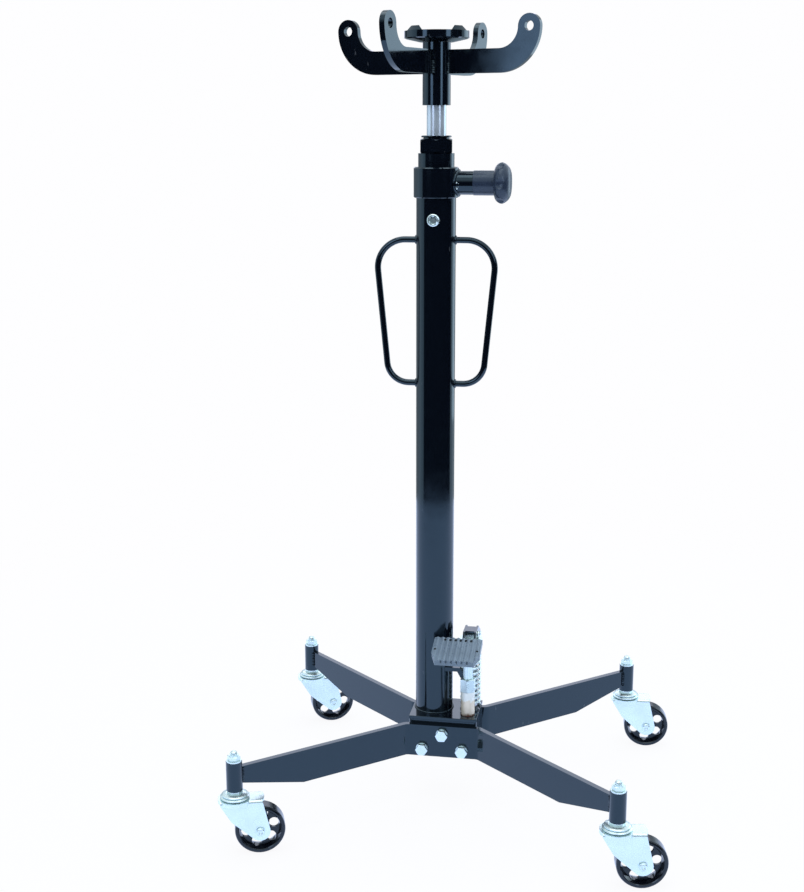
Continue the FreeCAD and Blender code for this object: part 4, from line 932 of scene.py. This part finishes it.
@dataclass
class Welds:
    """Every visible weld run, painted over."""

    paint: bpy.types.Material
    step: float = 0.4 * MM
    smooth: float = 60.0
    foot_bead: WeldBead = WeldBead(1.5 * MM)
    foot_gap: float = 0.3 * MM
    foot_points: int = 500
    foot_seed: int = 3
    handle_bead: WeldBead = WeldBead(1.9 * MM)
    handle_gaps: Pair = (0.3 * MM, 0.2 * MM)
    handle_points: int = 60
    boss_bead: WeldBead = WeldBead(2.3 * MM)
    boss_gaps: Pair = (0.4 * MM, 0.3 * MM)
    boss_points: int = 150
    boss_seed: int = 9
    arm_bead: WeldBead = WeldBead(2.9 * MM, ripple=0.5, pitch=2.9 * MM)
    arm_gap: float = 0.2 * MM
    arm_half_mm: float = 4.6
    arm_rise: float = 1.0 * MM
    arm_drop: float = 10.5 * MM
    arm_seed: int = 20
    post_bead: WeldBead = WeldBead(2.4 * MM, ripple=0.2, pitch=2.2 * MM)
    post_radius: float = 11.5 * MM
    post_bite: float = 0.96
    post_margin: float = 2.0 * MM
    post_seed: int = 40
    leg_thickness: float = 8.0 * MM
    leg_share: float = 0.52
    made: int = 0

    def add(self, form: Form, name: str, body: Body) -> None:
        """Finishes a run of weld as a piece."""
        self.made += 1
        form.finish(name, body, self.paint, Slot.PAINT, self.smooth)

    def posts(self) -> None:
        """Upright runs where the legs' ends meet the castor posts."""
        low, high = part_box("castor_posts")
        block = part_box("base_block")
        radius = self.post_radius
        ends = (("front_leg", low.y, block[0].y), ("rear_leg", high.y, block[1].y))
        for node, y, knee_y in ends:
            for x, knee_x in ((low.x, block[0].x), (high.x, block[1].x)):
                post = Vector((x - math.copysign(radius, x), y - math.copysign(radius, y), 0))
                inward = (Vector((knee_x, knee_y, 0)) - post).normalized()
                across = Vector((-inward.y, inward.x, 0))
                heights = [v.co.z for v in frame["nodes"][node].data.vertices
                           if (v.co.xy - post.xy).length < radius + self.leg_thickness]
                bottom = Vector((0, 0, min(heights) + self.post_margin))
                top = Vector((0, 0, max(heights) - self.post_margin))
                for side in (-1, 1):
                    edge = across * side * self.leg_thickness * self.leg_share
                    foot = post + inward * radius * self.post_bite + edge
                    path = between(foot + bottom, foot + top, self.step)
                    bead = self.post_bead.lay(path, closed=False, seed=self.post_seed + self.made)
                    self.add(bead, f"weld_post_{self.made}", Body.BASE)

    def column_foot(self) -> None:
        """The fillet round the foot of the column tube."""
        low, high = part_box("outer_tube")
        radius = (high.x - low.x) / 2 + self.foot_gap
        count = self.foot_points
        path = [on_circle(Vector(), radius, FULL_TURN * i / count, low.z + self.foot_gap)
                for i in range(count)]
        bead = self.foot_bead.lay(path, closed=True, seed=self.foot_seed)
        self.add(bead, "weld_column_foot", Body.BASE)

    def handles(self) -> None:
        """The rings where the handles meet the column tube."""
        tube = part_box("outer_tube")[1].y
        bar_gap, tube_gap = self.handle_gaps
        for side, node in ((-1, "left_handle"), (1, "right_handle")):
            low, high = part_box(node)
            bar = high.y
            for end, height in (("low", low.z + bar), ("high", high.z - bar)):
                centre = Vector((0, 0, height))
                path = ring_on_tube(bar + bar_gap, tube + tube_gap, centre, side,
                                    self.handle_points)
                bead = self.handle_bead.lay(path, closed=True, seed=int(height * 1000))
                self.add(bead, f"weld_{node}_{end}", Body.BASE)

    def boss(self) -> None:
        """The ring where the lock's boss meets the collar."""
        low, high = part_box("knob_boss")
        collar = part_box("guide_collar")[1].y
        boss_gap, collar_gap = self.boss_gaps
        centre = Vector((0, 0, (low.z + high.z) / 2))
        path = ring_on_tube((high.z - low.z) / 2 + boss_gap, collar + collar_gap, centre,
                            1, self.boss_points)
        bead = self.boss_bead.lay(path, closed=True, seed=self.boss_seed)
        self.add(bead, "weld_knob_boss", Body.BASE)

    def arms(self) -> None:
        """Two upright runs at each arm of the cross."""
        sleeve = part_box("saddle_sleeve")[1]
        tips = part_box("carrier_arms")[0]
        mounts = {mount["name"]: mount["pos_m"] for mount in frame["record"]["mounts"]}
        for i in range(4):
            x, y = mounts[f"arm_hole_{i + 1}"][:2]
            out = Vector((x, y, 0)).normalized()
            across = Vector((-out.y, out.x, 0))
            for side, letter in ((-1, "a"), (1, "b")):
                foot = out * (sleeve.x + self.arm_gap) + across * side * self.arm_half_mm * MM
                start = foot + Vector((0, 0, tips.z + self.arm_rise))
                end = foot + Vector((0, 0, sleeve.z - self.arm_drop))
                path = between(start, end, self.step)
                seed = self.arm_seed + 2 * i + side
                bead = self.arm_bead.lay(path, closed=False, seed=seed)
                self.add(bead, f"weld_arm_{i + 1}_{letter}", Body.CARRIER)

    def build(self) -> None:
        """Lays all the runs."""
        self.posts()
        self.column_foot()
        self.handles()
        self.boss()
        self.arms()
        LOG.info("%d weld runs", self.made)


# Springs


@dataclass
class Spring:
    """A coil spring wound in its CAD node's place."""

    node: str
    joint: str
    body: Body
    wire: float
    turns_apart: float
    travel: float
    steps: int = 28
    sides: int = 10

    def build(self, steel: bpy.types.Material) -> None:
        """Winds the spring in its CAD node's place.

        Args:
            steel: Its finish.
        """
        low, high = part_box(self.node)
        middle = (low + high) / 2
        radius = (high.x - low.x - self.wire) / 2
        start = low.z + self.wire / 2
        height = high.z - low.z - self.wire
        count = round(self.steps * height / self.turns_apart)
        path = [on_circle(middle, radius, FULL_TURN * i / self.steps, start + height * i / count)
                for i in range(count + 1)]
        radii = [self.wire / 2] * len(path)
        stations = stations_along(path, closed=False)
        form = Form().tube(stations, radii, self.sides, closed=False)
        piece = form.finish(f"{self.node}_coil", self.body, steel, Slot.ZINC)
        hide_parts(self.node)
        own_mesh(piece)


# Small parts


@dataclass
class SmallParts:
    """Fasteners, spatter and the painted shade in the pedal's tread holes, too fine for the CAD
    model.

    The screw's rings are shares of its radius and reach, with a hexagon share. The rivet's
    profile is a share of the axle's radius, and a height in millimetres. The spatter's ranges
    are in millimetres.
    """

    finishes: dict[str, bpy.types.Material]
    screw_rings: tuple[Triple, ...] = ((1, 0, 0), (1, 0.55, 0), (0.93, 0.85, 0), (0.8, 1, 0),
                                       (0.62, 0.97, 0), (0.55, 0.9, 1), (0.53, 0.2, 1))
    screw_smooth: float = 30.0
    castor_turns: tuple[tuple[Body, float], ...] = (
        (Body.CASTOR_FL, 18.5), (Body.CASTOR_FR, 10.0), (Body.CASTOR_BR, 4.5),
        (Body.CASTOR_BL, 23.5))
    rivet_profile: tuple[Pair, ...] = ((0, 0.25), (0.28, 0.3), (0.4, 1.5), (0.6, 1.9),
                                         (0.8, 1.4), (0.92, 0.1), (0.92, -0.2), (0, -0.2))
    rivet_sides: int = 40
    spatter_seed: int = 5
    spatter_count: int = 16
    spatter_x: Pair = (-1, 7)
    spatter_y: Pair = (14.5, 16.5)
    spatter_z: Pair = (-9, 4)
    spatter_radius: Pair = (0.5, 1.3)
    pedal_origin: Triple = (41.0 * MM, -31.0 * MM, 262.0 * MM)
    pedal_tilt: float = 16.5
    pedal_holes: int = 6
    pedal_pitch: float = 7.7 * MM
    hole_row: Triple = (-4.8 * MM, 2.2 * MM, 0.6 * MM)
    side_hole: float = 31.0 * MM
    side_hole_row: Triple = (-30 * MM, 1.7 * MM, 1.9 * MM)
    shade_disc_depth: float = 1.4 * MM

    def guide_screw(self) -> None:
        """The pan-headed screw with a hexagon socket below the collar."""
        low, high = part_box("guide_screw")
        radius = (high.x - low.x) / 2
        reach = high.y - low.y
        rings = [(radius * out, reach * up, share) for out, up, share in self.screw_rings]
        place = Vector(((low.x + high.x) / 2, high.y, (low.z + high.z) / 2))
        forwards = Matrix.Rotation(math.pi / 2, 4, "X")
        screw = Form().stack(rings).move(Matrix.Translation(place) @ forwards)
        piece = screw.finish("guide_screw_head", Body.BASE, self.finishes[Slot.ZINC.value],
                             Slot.ZINC, self.screw_smooth)
        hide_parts("guide_screw")

    def axle_rivets(self) -> None:
        """The peened ends of the four axles."""
        zinc = self.finishes[Slot.ZINC.value]
        for body, turn in self.castor_turns:
            low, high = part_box(body.value.replace("castor", "castor_axle"))
            centre = (low + high) / 2
            head = (high.z - low.z) / 2
            angle = math.radians(turn)
            reach = ((high.y - low.y) / 2 - head * abs(math.sin(angle))) / math.cos(angle)
            profile = [(head * out, rise * MM) for out, rise in self.rivet_profile]
            axle = Matrix.Rotation(angle, 4, "Z")
            for side, end in ((-1, "front"), (1, "back")):
                turned = axle @ Matrix.Rotation(-side * math.pi / 2, 4, "X")
                rivet = Form().revolve(profile, self.rivet_sides)
                rivet.move(Matrix.Translation((0, 0, reach)))
                rivet.move(Matrix.Translation(centre) @ turned)
                rivet.finish(f"rivet_{body.value}_{end}", body, zinc, Slot.ZINC)

    def boss_spatter(self) -> None:
        """Beads of bare weld metal beside the lock's boss."""
        low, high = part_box("knob_boss")
        chance = random.Random(self.spatter_seed)
        form = Form()
        for _ in range(self.spatter_count):
            x = low.x + chance.uniform(*self.spatter_x) * MM
            z = (low.z + high.z) / 2 + chance.uniform(*self.spatter_z) * MM
            y = -chance.uniform(*self.spatter_y) * MM
            form.ball(Vector((x, y, z)), chance.uniform(*self.spatter_radius) * MM)
        form.finish("boss_spatter", Body.BASE, self.finishes[Slot.ZINC.value], Slot.ZINC)

    def painted_hole_shade(self) -> None:
        """Near-black discs in the pedal's tread holes: painted shade where the holes are."""
        tilt = Matrix.Rotation(math.radians(self.pedal_tilt), 4, "X")
        tread = Matrix.Translation(self.pedal_origin) @ tilt
        first = -(self.pedal_holes - 1) / 2 * self.pedal_pitch
        places = [(first + i * self.pedal_pitch, *self.hole_row) for i in range(self.pedal_holes)]
        places += [(side * self.side_hole, *self.side_hole_row) for side in (-1, 1)]
        form = Form()
        for x, y, radius, top in places:
            # Each disc sits just under the tread's top, as painted shade inside its hole.
            middle = Matrix.Translation((x, y, top - self.shade_disc_depth / 2))
            form.plug(tread @ middle, radius, self.shade_disc_depth)
        form.finish("tread_hole_shadows", Body.PEDAL, HOLE_SHADOW.build(), Slot.SEAL)

    def build(self) -> None:
        """Makes all of them."""
        self.guide_screw()
        self.axle_rivets()
        self.boss_spatter()
        self.painted_hole_shade()


def main() -> None:
    """Builds the scene."""
    logging.basicConfig(level=logging.INFO, format="%(name)s: %(message)s")
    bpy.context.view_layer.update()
    Studio().build()
    dressing = CadDressing()
    dressing.dress()
    Welds(dressing.finishes[Slot.PAINT.value]).build()
    SmallParts(dressing.finishes).build()
    zinc = dressing.finishes[Slot.ZINC.value]
    Spring("pump_spring", "plunger_slide", Body.BASE,
           wire=3.8 * MM, turns_apart=7.9 * MM, travel=7.6 * MM).build(zinc)
    Spring("release_spring", "release_press", Body.BASE,
           wire=1.2 * MM, turns_apart=2.6 * MM, travel=5.0 * MM).build(zinc)


if __name__ == "__main__":
    main()
